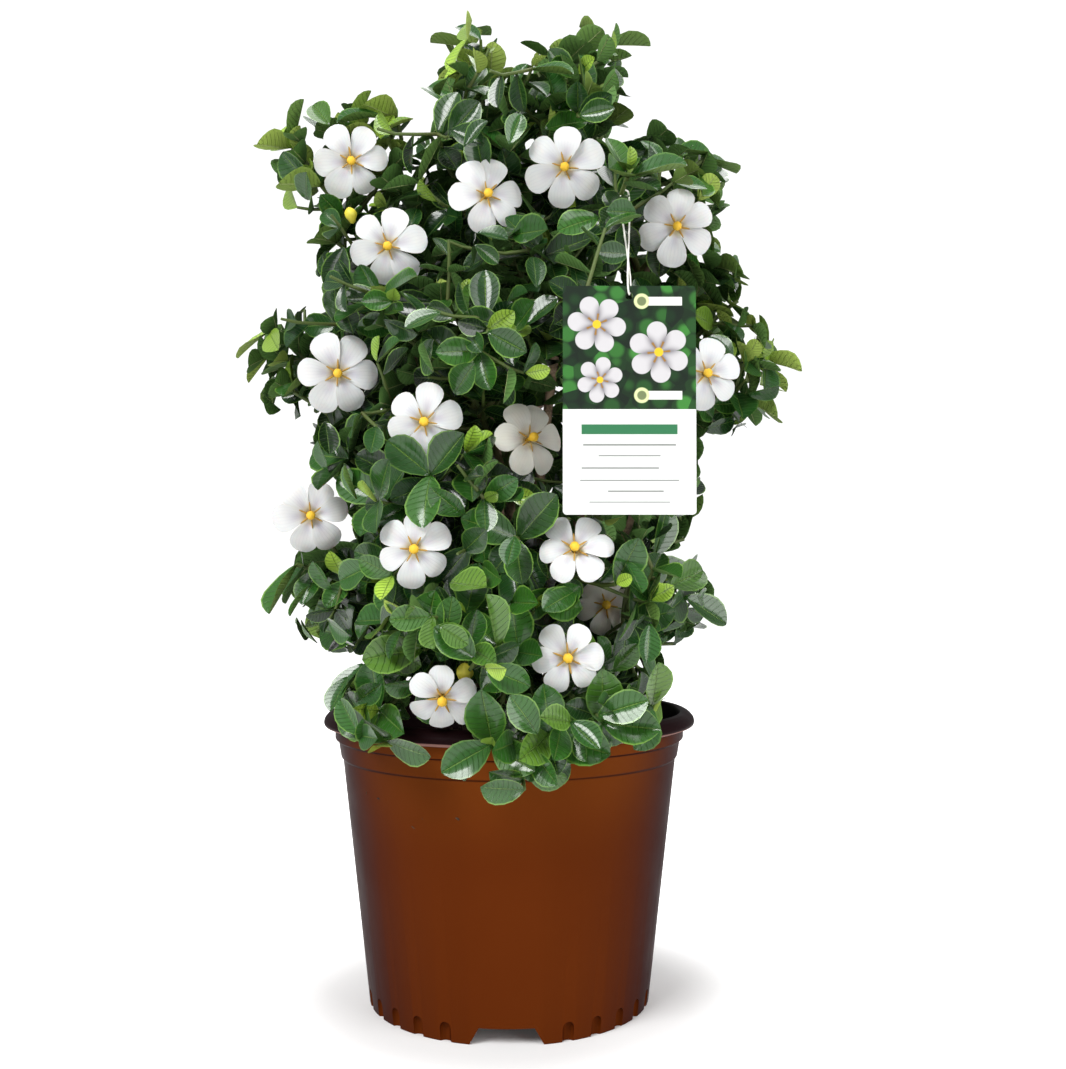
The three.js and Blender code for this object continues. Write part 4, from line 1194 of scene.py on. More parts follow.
def node_group(kind, name, outcome, **inputs):
    """A node group with one output, its input's values, and the name and socket type of each input."""
    tree = bpy.data.node_groups.new(name, kind)
    for label, socket in inputs.items():
        tree.interface.new_socket(label.replace("_", " "), in_out="INPUT", socket_type=f"NodeSocket{socket}")
    tree.interface.new_socket(outcome[0], in_out="OUTPUT", socket_type=f"NodeSocket{outcome[1]}")
    given = tree.nodes.new("NodeGroupInput").outputs
    return tree, *(Value(socket) for socket in given[:len(inputs)])


def geometry_tree(name, **inputs):
    """A geometry tree, the mesh that it is given, and its named inputs with their socket types."""
    outcome = ("Geometry", "Geometry")
    return node_group("GeometryNodeTree", name, outcome, Geometry="Geometry", **inputs, Material="Material")


def end_tree(tree, material, *geometries):
    """Ends a tree in real meshes with their material."""
    both = tree.nodes.new("GeometryNodeJoinGeometry")
    for geometry in geometries:
        tree.links.new(geometry.socket, both.inputs[0])
    real = add(tree, "GeometryNodeRealizeInstances", {"Geometry": Value(both.outputs[0])})
    dressed = add(tree, "GeometryNodeSetMaterial", {"Geometry": real, "Material": material})
    add(tree, "NodeGroupOutput", {"Geometry": dressed})
    return tree


def stored(tree, name, kind="FLOAT"):
    return add(tree, "GeometryNodeInputNamedAttribute", {"Name": name}, data_type=kind)


def set_on_points(points, part, turn, scale, **more):
    """Sets a part on each point, turned and scaled."""
    turn = add(turn.tree, "FunctionNodeEulerToRotation", {"Euler": turn})
    inputs = {"Points": points, "Instance": part, "Rotation": turn, "Scale": scale}
    inputs.update((name.replace("_", " "), value) for name, value in more.items())
    return add(turn.tree, "GeometryNodeInstanceOnPoints", inputs)


def apply_tree(piece, tree, **values):
    """Runs the tree on the piece once, and keeps the result as its plain mesh."""
    modifier = piece.modifiers.new(tree.name, "NODES")
    modifier.node_group = tree
    for item in tree.interface.items_tree:
        key = item.name.replace(" ", "_").lower()
        if item.in_out == "INPUT" and key in values:
            modifier[item.identifier] = values[key]
    bake(piece)


def bake(piece):
    """Applies the piece's modifiers."""
    piece.update_tag()
    depsgraph = bpy.context.evaluated_depsgraph_get()
    source = piece.evaluated_get(depsgraph)
    mesh = bpy.data.meshes.new_from_object(source, preserve_all_data_layers=True, depsgraph=depsgraph)
    piece.modifiers.clear()
    piece.data = mesh


def leaves_tree():
    """Sets a blade on each point, turned by `turn`, scaled by `span`, and picked by `blade`."""
    tree, points, blades, material = geometry_tree("Leaves on points", Blades="Collection")
    inputs = {"Collection": blades, "Separate Children": True, "Reset Children": True}
    forms = add(tree, "GeometryNodeCollectionInfo", inputs)
    turn, span, pick = stored(tree, "turn", "FLOAT_VECTOR"), stored(tree, "span"), stored(tree, "blade")
    leaves = set_on_points(points, forms, turn, span, Pick_Instance=True, Instance_Index=pick)
    return end_tree(tree, material, leaves)


def bars_tree():
    """Sets a round bar on each line of edges, as thick as its `girth`."""
    tree, mesh, sides, material = geometry_tree("Bars on lines", Sides="Int")
    lines = add(tree, "GeometryNodeMeshToCurve", {"Mesh": mesh})
    circle = add(tree, "GeometryNodeCurvePrimitiveCircle", {"Resolution": sides, "Radius": 1.0})
    inputs = {"Curve": lines, "Profile Curve": circle, "Scale": stored(tree, "girth"), "Fill Caps": True}
    bar = add(tree, "GeometryNodeCurveToMesh", inputs)
    return end_tree(tree, material, add(tree, "GeometryNodeSetShadeSmooth", {"Geometry": bar}))


def ring_tree():
    """Sets a ring of one part round the mesh that it is given, each copy a little uneven."""
    tree, mesh, part, count, first_turn, uneven_tilt, uneven_size, seed, material = geometry_tree(
        "Ring of parts", Part="Object", Count="Int", First_turn="Float", Uneven_tilt="Float",
        Uneven_size="Float", Seed="Int",
    )
    points = add(tree, "GeometryNodePoints", {"Count": count})
    index = add(tree, "GeometryNodeInputIndex")

    def uneven(amount, offset, middle=0.0):
        """A number that differs by up to the amount from the middle."""
        inputs = {"ID": index, "Seed": seed + offset}
        node = add(tree, "FunctionNodeRandomValue", inputs, data_type="FLOAT").socket.node
        low, high, _ = (socket for socket in node.inputs if socket.type == "VALUE")
        put(low, middle - amount)
        put(high, middle + amount)
        return Value(next(socket for socket in node.outputs if socket.type == "VALUE"))

    sway = index * (-2 * math.pi / count) - first_turn + uneven(uneven_tilt, 2.0)
    angles = {"X": uneven(uneven_tilt, 1.0), "Y": uneven(uneven_tilt, 4.0), "Z": sway}
    long, wide = uneven(uneven_size, 3.0, 1.0), uneven(uneven_size, 5.0, 1.0)
    turn = add(tree, "ShaderNodeCombineXYZ", angles)
    size = add(tree, "ShaderNodeCombineXYZ", {"X": long * wide, "Y": long, "Z": long})
    form = add(tree, "GeometryNodeObjectInfo", {"Object": part}, output="Geometry")
    return end_tree(tree, material, mesh, set_on_points(points, form, turn, size))


def scatter_tree():
    """Scatters crumbs over the upward faces of the mesh that it is given."""
    tree, mesh, crumb, above, spacing, seed, material = geometry_tree(
        "Crumbs on top", Crumb="Object", Above="Float", Spacing="Float", Seed="Int",
    )
    rise = parts_of(add(tree, "GeometryNodeInputNormal"))[2]
    height = parts_of(add(tree, "GeometryNodeInputPosition"))[2]
    top = (rise > 0.6) * (height > above)
    inputs = {"Mesh": mesh, "Selection": top, "Distance Min": spacing, "Density Max": 40000, "Seed": seed}
    spots = add(tree, "GeometryNodeDistributePointsOnFaces", inputs, distribute_method="POISSON")
    turn = add(tree, "FunctionNodeRandomValue", {1: (6.28, 6.28, 6.28)}, data_type="FLOAT_VECTOR")
    sizes = {0: (0.5, 0.4, 0.4), 1: (1.6, 1.0, 0.9)}
    size = add(tree, "FunctionNodeRandomValue", sizes, data_type="FLOAT_VECTOR")
    form = add(tree, "GeometryNodeObjectInfo", {"Object": crumb}, output="Geometry")
    return end_tree(tree, material, mesh, set_on_points(spots, form, turn, size))


# Materials


class Finish:
    """A material while it is built, with its tree and its Principled shader."""

    def __init__(self, name):
        self.material = bpy.data.materials.new(name)
        self.material.use_nodes = True
        self.tree = self.material.node_tree
        self.shader = self.tree.nodes["Principled BSDF"]

    def place(self):
        """Where a point is in the object."""
        return add(self.tree, "ShaderNodeTexCoord", output="Object")

    def value(self, name):
        """A value that the mesh's points hold."""
        return add(self.tree, "ShaderNodeAttribute", output="Fac", attribute_name=name)

    def set(self, **values):
        """Sets or links the shader's inputs. Gives the material."""
        for name, value in values.items():
            put(self.shader.inputs[name.replace("_", " ")], value)
        return self.material

    def bump(self, height, strength, distance):
        inputs = {"Height": height, "Strength": strength, "Distance": distance}
        put(self.shader.inputs["Normal"], add(self.tree, "ShaderNodeBump", inputs))

    def blade_parts(self):
        """From a blade's map: side from -1 to 1, its size, the share along it, and 1 on the underside."""
        across, u, _ = parts_of(add(self.tree, "ShaderNodeUVMap", uv_map="blade"))
        under = across > 0.5
        side = (across - (under * (MAP_UNDER - MAP_TOP) + MAP_TOP)) / MAP_HALF - 1.0
        return side, abs(side), u, under


def shared(name, build, *tones):
    """The material of that name, built once, in its tones where it has any to choose."""
    return bpy.data.materials.get(name) or build(name, *tones)


def fine_grain():
    """A group that gives a value round 0.5 from two sizes of noise, shared by the rough materials."""
    group, place, scale = node_group(
        "ShaderNodeTree", "Fine grain", ("Grain", "Float"), Place="Vector", Scale="Float",
    )
    both = noise(place, scale, 4.0) * 0.65 + noise(place, scale * 5.0, 2.0) * 0.35
    add(group, "NodeGroupOutput", {"Grain": both})
    return group


def grain(place, scale):
    group = bpy.data.node_groups.get("Fine grain") or fine_grain()
    return add(place.tree, "ShaderNodeGroup", {"Place": place, "Scale": scale}, node_tree=group)


def leaf_material(name, young, grown, old):
    """Glossy leaves, yellow-green when young and very dark when old, and darker deep in the crown as painted
    shade, with a pale midrib, sunk side veins, a thin light margin and a paler, duller underside."""
    finish = Finish(name)
    _, reach, u, under = finish.blade_parts()
    place, age, tint = finish.place(), finish.value("age"), finish.value("tint")
    midrib = ridge(reach, 0.0, 0.07)
    slant = u - reach**1.25 * 0.15
    vein = ridge(calc("FRACT", slant * 9.0), 0.5, 0.13) * spread(reach, 0.82, 0.98, 1.0, 0.0)
    # The age value also carries painted shade, darker deeper in the crown and lighter near its outline.
    top = painted(
        young,
        (spread(age, 0.02, 0.4), grown),
        (spread(age, 0.4, 0.9), old),
        (tint * 0.55, (22, 70, 24)),
        (spread(noise(place, 60.0, 2.0), 0.4, 0.8, 0.0, 0.25), (58, 112, 32)),
        (vein * 0.35, (74, 128, 44)),
        (midrib * 0.55, (132, 172, 74)),
        (spread(reach, 0.87, 0.96) * (tint * -0.55 + 0.8), (126, 168, 70)),
    )
    below = painted((160, 184, 84), (spread(age, 0.0, 0.7), (84, 122, 58)), (midrib * 0.7, (196, 208, 140)))
    height = 1.0 - (midrib * 0.9 + vein * 0.7)
    finish.bump(height * (1.0 - under * 2.0), 1.0, 0.0009)
    return finish.set(
        Base_Color=painted(top, (under, below)),
        Roughness=under * 0.3 + spread(noise(place, 90.0), 0.3, 0.7, 0.3, 0.44),
        Coat_Weight=(1.0 - under) * 0.75,
        Coat_Roughness=0.14,
        Specular_IOR_Level=0.35,
    )


def twig_material(name):
    """Green at the tips and brown below."""
    finish = Finish(name)
    place = finish.place()
    young = spread(finish.value("green"), 0.2, 0.8)
    base = painted((104, 76, 46), (young, (82, 106, 44)), (grain(place, 260.0) * 0.5, (70, 54, 34)))
    finish.bump(grain(place, 400.0), 0.3, 0.0006)
    return finish.set(Base_Color=base, Roughness=0.6)


def rough_material(name, scale, low, high, dark, light, roughness, strength, distance):
    """A rough stuff whose grain shows in its colour and its surface."""
    finish = Finish(name)
    rough = grain(finish.place(), scale)
    finish.bump(rough, strength, distance)
    return finish.set(Base_Color=painted(dark, (spread(rough, low, high), light)), Roughness=roughness)


def bark_material(name):
    return rough_material(name, 120.0, 0.35, 0.65, (78, 62, 44), (140, 120, 96), 0.85, 0.6, 0.0015)


def mix_material(name):
    return rough_material(name, 140.0, 0.4, 0.62, (30, 21, 15), (84, 62, 42), 0.95, 0.8, 0.002)


def petal_material(name, white, cream):
    """Soft white petals with faint veins, a grey-lilac painted shade in the middle and thin cream edges.
    Aged ones are cream.
    """
    finish = Finish(name)
    side, reach, u, _ = finish.blade_parts()
    lines = spread(calc("SINE", side * 26.0), 0.2, 1.0)
    base = painted(
        white,
        (lines * 0.1, (180, 176, 186)),
        # Painted shade: grey-lilac over the middle of each petal.
        (ridge(reach, 0.0, 0.8) * ridge(u, 0.25, 0.45) * 0.55, (166, 162, 180)),
        (spread(reach, 0.94, 1.0, 0.0, 0.35), (236, 228, 206)),
        (ridge(u, 0.0, 0.26) * 0.7, (186, 170, 98)),
        (finish.value("aged"), painted(cream, (noise(finish.place(), 80.0), (226, 210, 170)))),
    )
    finish.bump(lines, 0.15, 0.0004)
    return finish.set(Base_Color=base, Roughness=0.55, Subsurface_Weight=0.12, Subsurface_Scale=0.004)


def heart_material(name):
    """The yellow club and the golden brown anthers."""
    finish = Finish(name)
    rough = grain(finish.place(), 900.0)
    anther = painted((140, 100, 30), (rough, (206, 166, 76)))
    finish.bump(rough, 0.3, 0.0004)
    base = painted((226, 168, 20), (rough, (250, 208, 60)), (finish.value("anther"), anther))
    return finish.set(Base_Color=base, Roughness=0.6)


def bud_material(name):
    finish = Finish(name)
    base = painted((236, 216, 52), (noise(finish.place(), 160.0), (206, 204, 84)))
    return finish.set(Base_Color=base, Roughness=0.5)


def pot_material(name, plastic):
    """Brown plastic with painted light and shade: lighter and more orange on the upper body, darker at its
    edges and in its grooves, a pale painted highlight along the lip's foot, and very dark painted shade
    on the lip above that and on the inner face."""
    finish = Finish(name)
    place = finish.place()
    height = parts_of(place)[2]
    # Painted shade: the plastic darkens where its surface turns edge-on to the view.
    facing = add(finish.tree, "ShaderNodeLayerWeight", {"Blend": 0.5}, output="Facing")
    lip_foot, mix_edge = (COLLAR["neck_top"] + 0.2) * MM, MIX["edge_top"] * MM
    # Painted light and shade on the lip: a pale painted highlight along its foot, very dark painted shade
    # above.
    lip = painted((150, 112, 104), (spread(height, lip_foot + 0.0024, lip_foot + 0.0034), (30, 15, 17)))
    # Painted shade along the two grooves under the collar's bands.
    grooves = (ridge(height, z * MM, 1.1 * MM) for z in (POT["body_top"] + 0.4, COLLAR["high_top"] + 0.6))
    # Painted shade on the pot's inner face above the mix.
    flat = add(finish.tree, "ShaderNodeVectorMath", {0: place, 1: (1, 1, 0)}, operation="MULTIPLY")
    widening = 0.174
    wall = (height - mix_edge) * widening + POT["body_top_radius"] * MM
    inside = (length_of(flat) < wall - 0.0012) * (height > mix_edge - 0.003)
    base = painted(
        plastic,
        (noise(place, 9.0, 4.0), (92, 40, 8)),
        # Painted light: the upper body and collar are lighter and more orange.
        (spread(height, 0.12, 0.2, 0.0, 0.6), (112, 56, 14)),
        # Painted shade towards the edges.
        (spread(facing, 0.2, 0.85), (42, 6, 5)),
        # The lip's painted highlight and painted shade.
        (spread(height, lip_foot, lip_foot + 0.0004), lip),
        # Painted shade in the grooves.
        *((groove * 0.75, (34, 10, 6)) for groove in grooves),
        # Painted shade on the inner face.
        (inside, (30, 15, 17)),
    )
    finish.bump(grain(place, 600.0), 0.05, 0.0003)
    gloss = spread(noise(place, 30.0), 0.3, 0.7, 0.34, 0.42)
    return finish.set(Base_Color=base, Roughness=gloss, Specular_IOR_Level=0.02)


def elastic_material(name):
    return Finish(name).set(Base_Color=colour((240, 238, 230)), Roughness=0.6)


def card_material(name):
    """A printed card: white flower shapes on dark leaves above, plain rules on white below."""
    finish = Finish(name)
    place = finish.place()
    x, _, z = (part / MM for part in parts_of(place))
    x, z = x - TAG_CENTRE[0], z - TAG_CENTRE[2]

    def within(value, edge, soft):
        """1 up to the edge and 0 past it, with a soft step."""
        return spread(value, edge - soft, edge + soft, 1.0, 0.0)

    def away_from(cx, cz):
        across, up = x - cx, z - cz
        return calc("SQRT", across * across + up * up)

    def bar(cx, cz, width, height):
        return within(abs(x - cx), width / 2, 0.3) * within(abs(z - cz), height / 2, 0.3)

    def flower(cx, cz, size, turn):
        """A flower's share and its colour."""
        away = away_from(cx, cz) / size
        lobe = abs(calc("COSINE", calc("ARCTAN2", z - cz, x - cx) * 3.0 + turn))
        petals = painted(
            (120, 116, 122),
            (spread(away + lobe * 0.4, 0.3, 1.0), (194, 192, 194)),
            (spread(lobe, 0.25, 0.4, 1.0, 0.0) * spread(away, 0.34, 0.4, 1.0, 0.0), (146, 108, 44)),
            (spread(away, 0.13, 0.16, 1.0, 0.0), (222, 184, 40)),
        )
        return spread(lobe**0.45 * 0.5 + 0.5 - away, -0.01, 0.02), petals

    cells = add(finish.tree, "ShaderNodeTexVoronoi", {"Vector": place, "Scale": 95.0}, output="Distance")
    tone = Value(cells.socket.node.outputs["Color"])
    shade = add(finish.tree, "ShaderNodeSeparateColor", {"Color": tone})
    picture = painted(
        (14, 40, 18),
        (shade * shade, (58, 124, 50)),
        (spread(cells, 0.35, 0.62, 0.0, 0.85), (8, 22, 12)),
        *(flower(*one) for one in PRINTED_FLOWERS),
    )
    for cx, cz, size in PRINTED_ROUNDS:
        away = away_from(cx, cz)
        picture = painted(
            picture,
            (bar(cx + 15, cz, 22, size * 1.1), (232, 236, 226)),
            (within(away, size, 0.4), (206, 218, 160)),
            (within(away, size * 0.6, 0.4), (110, 122, 84)),
        )
    rules = ((bar(*rule), (48, 112, 74) if rule[3] > 4 else (140, 144, 140)) for rule in PRINTED_RULES)
    base = painted((228, 229, 227), *rules, (z > PRINT_SPLIT, picture))
    return finish.set(Base_Color=base, Roughness=0.35)


# Settings


class GardeniaFoliage(PropertyGroup):
    seed: IntProperty(name="Seed", description="Seed of the growth between the tips", default=7, min=0)
    apart: FloatProperty(
        name="Apart", description="How far leaves keep from each other, in mm", default=5.5, min=2, max=20
    )
    stray: FloatProperty(
        name="Stray", description="How far growth strays from the solids, in mm", default=28, min=5, max=60
    )
    fill_rounds: IntProperty(name="Fill rounds", description="How often room is filled", default=3, min=0)
    fill_tries: IntProperty(name="Fill tries", description="Places tried in each round", default=1500, min=0)
    fill_room: FloatProperty(name="Fill room", description="Room for a new sprig, in mm", default=9, min=0)
    fill_reach: FloatProperty(name="Fill reach", description="Longest new sprig, in mm", default=70, min=10)
    sprig_length: FloatProperty(name="Sprig length", description="Side sprigs, in mm", default=30, min=10)
    sprig_spacing: FloatProperty(name="Sprig spacing", description="Along a shoot, in mm", default=9, min=5)
    bloom_view: FloatProperty(
        name="Bloom view", description="Share of each bloom kept in sight", default=0.86, min=0, max=1
    )
    young_share: FloatProperty(
        name="Young tips", description="Share of the tips with a new flush", default=0.4, min=0, max=1
    )
    twig_sides: IntProperty(name="Twig sides", description="Sides of a twig's bar", default=6, min=3, max=16)
    young: FloatVectorProperty(
        name="Young", description="Youngest leaves", size=4, subtype="COLOR", default=colour((172, 208, 74))
    )
    grown: FloatVectorProperty(
        name="Grown", description="Grown leaves", size=4, subtype="COLOR", default=colour((48, 98, 26))
    )
    old: FloatVectorProperty(
        name="Old", description="Oldest leaves", size=4, subtype="COLOR", default=colour((11, 31, 10))
    )


class GardeniaBlooms(PropertyGroup):
    uneven_tilt: FloatProperty(
        name="Uneven tilt", description="How far petals tip", default=0.1, min=0, subtype="ANGLE"
    )
    uneven_size: FloatProperty(name="Uneven size", description="How petals vary in size", default=0.07, min=0)
    pinwheel: FloatProperty(
        name="Pinwheel", description="How far one edge of each petal stands over the next, in mm", default=0.9
    )
    aged_share: FloatProperty(name="Aged", description="How cream old blooms are", default=0.35, min=0, max=1)
    white: FloatVectorProperty(
        name="White", description="Fresh petals", size=4, subtype="COLOR", default=colour((218, 216, 215))
    )
    cream: FloatVectorProperty(
        name="Cream", description="Old petals", size=4, subtype="COLOR", default=colour((238, 228, 200))
    )


class GardeniaPot(PropertyGroup):
    sides: IntProperty(name="Sides", description="Faces round the pot", default=144, min=24, max=256)
    edge: FloatProperty(name="Edge", description="Radius of its edges, in mm", default=0.7, min=0.1, max=2)
    crumb_spacing: FloatProperty(
        name="Crumb spacing", description="Between crumbs, at least", default=0.006, min=0.002, unit="LENGTH"
    )
    plastic: FloatVectorProperty(
        name="Plastic", description="The pot's plastic", size=4, subtype="COLOR", default=colour((84, 34, 6))
    )


class GardeniaStage(PropertyGroup):
    key: FloatProperty(name="Key light", description="Power of the key light, in watts", default=54, min=0)
    fill: FloatProperty(name="Fill light", description="Power of the fill light, in watts", default=26, min=0)
    sky: FloatProperty(name="Sky", description="Strength of the light from all round", default=0.32, min=0)
    floor_glow: FloatProperty(name="Floor glow", description="White added to the floor", default=0.9, min=0)


# Leaves, twigs and stems


def leaf_form(name, fold, curl, wave, twist):
    """One form of leaf, a unit long, that runs along +Y and faces +Z."""

    def surface(side, u, half):
        x = side * half * LEAF["width_share"] / 2
        edge = abs(side) * half
        z = fold * edge**0.9 - curl * u * u + wave * edge * math.sin(7 * u + math.copysign(2, side))
        angle = twist * u
        return x * math.cos(angle) - z * math.sin(angle), u, x * math.sin(angle) + z * math.cos(angle)

    return blade(name, LEAF_ROWS, LEAF_TOPS, surface, lambda u: 0.016 * (1 - 0.6 * u))


def leaf_points(name, leaves, draw):
    """A mesh with a point for each leaf, which holds its turn, length, darkness from aging and painted shade,
    tint and form.
    """
    piece = linked(name, mesh_of(name, [root for (root, *_), _, _ in leaves]))
    chances = [(draw(), draw()) for _ in leaves]
    fill_values(
        piece.data,
        turn=[tuple(Matrix(axes).transposed().to_euler()) for (_, *axes), _, _ in leaves],
        span=[length * MM for _, length, _ in leaves],
        age=[age for _, _, age in leaves],
        tint=[tint for tint, _ in chances],
        blade=[int(pick * len(LEAF_FORMS)) for _, pick in chances],
    )
    return piece


class GARDENIA_OT_foliage(Operator):
    """Grow the leaves and twigs of every branch"""

    bl_idname = "gardenia.foliage"
    bl_label = "Leaves and twigs"

    def execute(self, context):
        settings = context.scene.gardenia_foliage
        bush = Bush(settings)
        forms = bpy.data.collections.new("leaf forms")
        for i, form in enumerate(LEAF_FORMS):
            forms.objects.link(leaf_form(f"leaf_form_{i}", *form))
        leaf = shared("Leaf", leaf_material, settings.young, settings.grown, settings.old)
        twig = shared("Twig", twig_material)
        set_leaves, set_bars = leaves_tree(), bars_tree()
        for number, name in enumerate(BRANCHES):
            leaves = leaf_points(f"leaves_{name}", bush.leaves[name], draws(SEEDS["leaves"] + number))
            apply_tree(leaves, set_leaves, blades=forms, material=leaf)
            twigs = lines_piece(f"twigs_{name}", bush.twigs[name])
            apply_tree(twigs, set_bars, sides=settings.twig_sides, material=twig)
            for piece in (leaves, twigs):
                finished(piece, "foliage", f"branch_{name}")
        for form in list(forms.objects):
            bpy.data.objects.remove(form)
        bpy.data.collections.remove(forms)
        return {"FINISHED"}


class GARDENIA_OT_stems(Operator):
    """Build the woody stems and their root collar"""

    bl_idname = "gardenia.stems"
    bl_label = "Woody stems"

    def execute(self, context):
        bark = shared("Bark", bark_material)
        shares = [i / 16 for i in range(17)]
        low, high = STEM["base_radius"], STEM["tip_radius"]
        radii = [mix_of(low, high, share) * (1 + 0.08 * math.sin(40 * share)) for share in shares]
        lines = [stem_line(name) for name in STEMS]
        stems = lines_piece("stems", [([line.at(s) for s in shares], radii, 0.0, 0.0) for line in lines])
        apply_tree(stems, bars_tree(), sides=12, material=bark)
        finished(stems, "bark", "woody_stems")
        radius, bottom, top = ROOT_COLLAR["radius"], ROOT_COLLAR["bottom"], ROOT_COLLAR["top"]
        section = (
            (0, bottom), (radius * 0.6, bottom), (radius * 0.98, MIX["top"] - 4),
            (radius * 0.97, MIX["top"] + 4), (radius * 0.85, top - 8), (radius * 0.45, top - 2), (0, top),
        )

        def gnarl(angle, z):
            return 1 + 0.07 * math.sin(5 * angle + 0.1 * z) + 0.04 * math.sin(9 * angle)

        finished(turned_body("root_collar", section, 40, gnarl), "bark", "woody_stems", material=bark)
        return {"FINISHED"}


# Blooms and buds


def petal_form(size, pinwheel, seed):
    """One petal in its bloom's frame, along +Y from the throat."""
    phase = 6 * draws(seed)()
    first = BLOOM["throat_radius"] - 1.2
    reach = BLOOM["radius"] * size - first

    def surface(side, u, half):
        lift = float(np.interp(u, *zip(*PETAL_RISE))) * size
        edge = abs(side) ** 1.6 * half
        lift += (0.2 - 0.24 * u) * edge + side * half / HALF_PETAL * pinwheel
        lift += 0.25 * math.sin(3.1 * side + 5 * u + phase) * u
        return side * half * size, first + reach * u, lift

    return blade("petal_form", PETAL_ROWS, PETAL_TOPS, surface, lambda u: 0.9, MM)


def throat_piece(name):
    """The tube that the petals open from, and the hollow of its throat."""
    r, dip, end = BLOOM["throat_radius"] * 0.92, BLOOM["throat_dip"], BLOOM["tube_length"]
    section = (
        (0, -6.4), (1.2, -5.6), (r * 0.82, -dip - 0.4), (r, -dip), (r, -dip - 0.8), (2.6, -6), (2.2, -11),
        (2.1, -end), (0, -end),
    )
    return turned_body(name, section, 24)


def anther_form():
    """One anther, a slim spindle that lies out along +Y over the gap between two petals."""
    form = turned_body("anther_form", ((0, 2), (0.5, 3), (0.68, 5.2), (0.62, 7.6), (0.36, 9.2), (0, 10)), 8)
    for vertex in form.data.vertices:
        x, y, z = vertex.co / MM
        vertex.co = Vector((x, z, 1.4 + 1.9 * max((z - 2) / 8, 0) ** 0.8 + 0.55 * y)) * MM
    face_out(form.data)
    fill_values(form.data, anther=1.0)
    return form


def club_piece(name, stretch):
    """The club-shaped stigma, lightly furrowed, with its foot down in the throat."""
    club = ((1.6, 1.6), (2.7, 3.4), (3.2, 5.0), (3.0, 6.3), (2.1, 7.2), (0, 7.6))
    section = [(0, -6), (0.9, -5.4), (1.1, 0), *((r, z * stretch) for r, z in club)]
    piece = turned_body(name, section, 24, lambda angle, z: 1 + 0.05 * math.cos(6 * angle))
    fill_values(piece.data, anther=0.0)
    return piece


class GARDENIA_OT_blooms(Operator):
    """Build every bloom's petals, stamens and stigma"""

    bl_idname = "gardenia.blooms"
    bl_label = "Blooms"

    def execute(self, context):
        settings = context.scene.gardenia_blooms
        petal = shared("Petal", petal_material, settings.white, settings.cream)
        heart = shared("Heart", heart_material)
        ring, anther = ring_tree(), anther_form()
        for number, (label, matrix, size) in enumerate(BLOOMS):
            form = petal_form(size, settings.pinwheel, SEEDS["petal"] + number)
            petals = throat_piece(f"petals_{label}")
            values = {"part": form, "count": BLOOM["petals"], "first_turn": math.pi / BLOOM["petals"]}
            values.update(uneven_tilt=settings.uneven_tilt, uneven_size=settings.uneven_size)
            apply_tree(petals, ring, seed=SEEDS["petal_ring"] + number, material=petal, **values)
            bpy.data.objects.remove(form)
            fill_values(petals.data, aged=settings.aged_share if label in AGED_BLOOMS else 0.0)
            club = club_piece(f"heart_{label}", 1.25 if label == LONG_STIGMA else 1.0)
            values.update(part=anther, first_turn=0.0, uneven_tilt=0.12, uneven_size=0.08)
            apply_tree(club, ring, seed=SEEDS["anther_ring"] + number, material=heart, **values)
            in_metres = Matrix.Translation(matrix.translation * MM) @ matrix.to_3x3().to_4x4()
            for piece, slot in ((petals, "petals"), (club, "heart")):
                piece.data.transform(in_metres)
                finished(piece, slot, f"bloom_{label}_{slot}")
        bpy.data.objects.remove(anther)
        return {"FINISHED"}


class GARDENIA_OT_buds(Operator):
    """Build the flower buds"""

    bl_idname = "gardenia.buds"
    bl_label = "Flower buds"

    def execute(self, context):
        section = (
            (0, -5), (2.2, -4), (3.6, -1), (5, 1.4), (5.5, 3.6), (5, 6), (3.4, 8.4), (1.5, 9.7), (0, 10.2),
        )

        def fluted(angle, z):
            return 1 + 0.06 * math.sin(5 * angle + 0.5 * z)

        for number, (branch, place, size, lean) in enumerate(BUDS):
            bud = turned_body(f"bud_{number + 1}", section, 30, fluted)
            turn = Euler((math.radians(lean[0]), math.radians(lean[1]), 0)).to_matrix().to_4x4()
            bud.data.transform(Matrix.Translation(Vector(place) * MM) @ turn @ Matrix.Scale(size, 4))
            finished(bud, "petals", f"branch_{branch}", material=shared("Bud", bud_material))
        return {"FINISHED"}


# Pot and potting mix


def floor_reach():
    """The pot's outer radius at its floor."""
    foot = POT["foot_radius"]
    return foot + (POT["body_top_radius"] - foot) * POT["floor_top"] / POT["body_top"]


def pot_section(edge):
    """The pot's section: from the pad's middle under the floor, up the outside, and back down the inside."""
    foot, top, skirt, pad = POT["foot_radius"], POT["body_top_radius"], POT["skirt_wall"], POT["pad_radius"]
    under, floor, pad_top, step = POT["floor_under"], POT["floor_top"], POT["pad_top"], COLLAR["step"]
    neck, high = COLLAR["neck_radius"], COLLAR["high_top"]
    return softened([
        (0, pad_top), (0, 0), (pad + 1, 0), (pad + 4, under), (foot - skirt, under), (foot - skirt, 0),
        (foot, 0), (top, POT["body_top"]), (COLLAR["low_radius"], POT["body_top"] + step),
        (COLLAR["high_radius"], high), (neck, high + step), (neck, COLLAR["neck_top"]),
        *((POT["lip_radius"] - inwards, POT["height"] - down) for inwards, down in LIP),
        (top - POT["wall"], MIX["edge_top"]), (floor_reach() - skirt, floor), (pad + 2, floor),
        (pad - 1, pad_top), (0, pad_top),
    ], edge)


def cut_at(piece, degrees, reach=0):
    """Sets a cutter at an angle round the pot and out to the front there."""
    turn = Matrix.Rotation(math.radians(degrees), 4, "Z")
    piece.data.transform(turn @ Matrix.Translation((0, -reach * MM, 0)))
    return piece


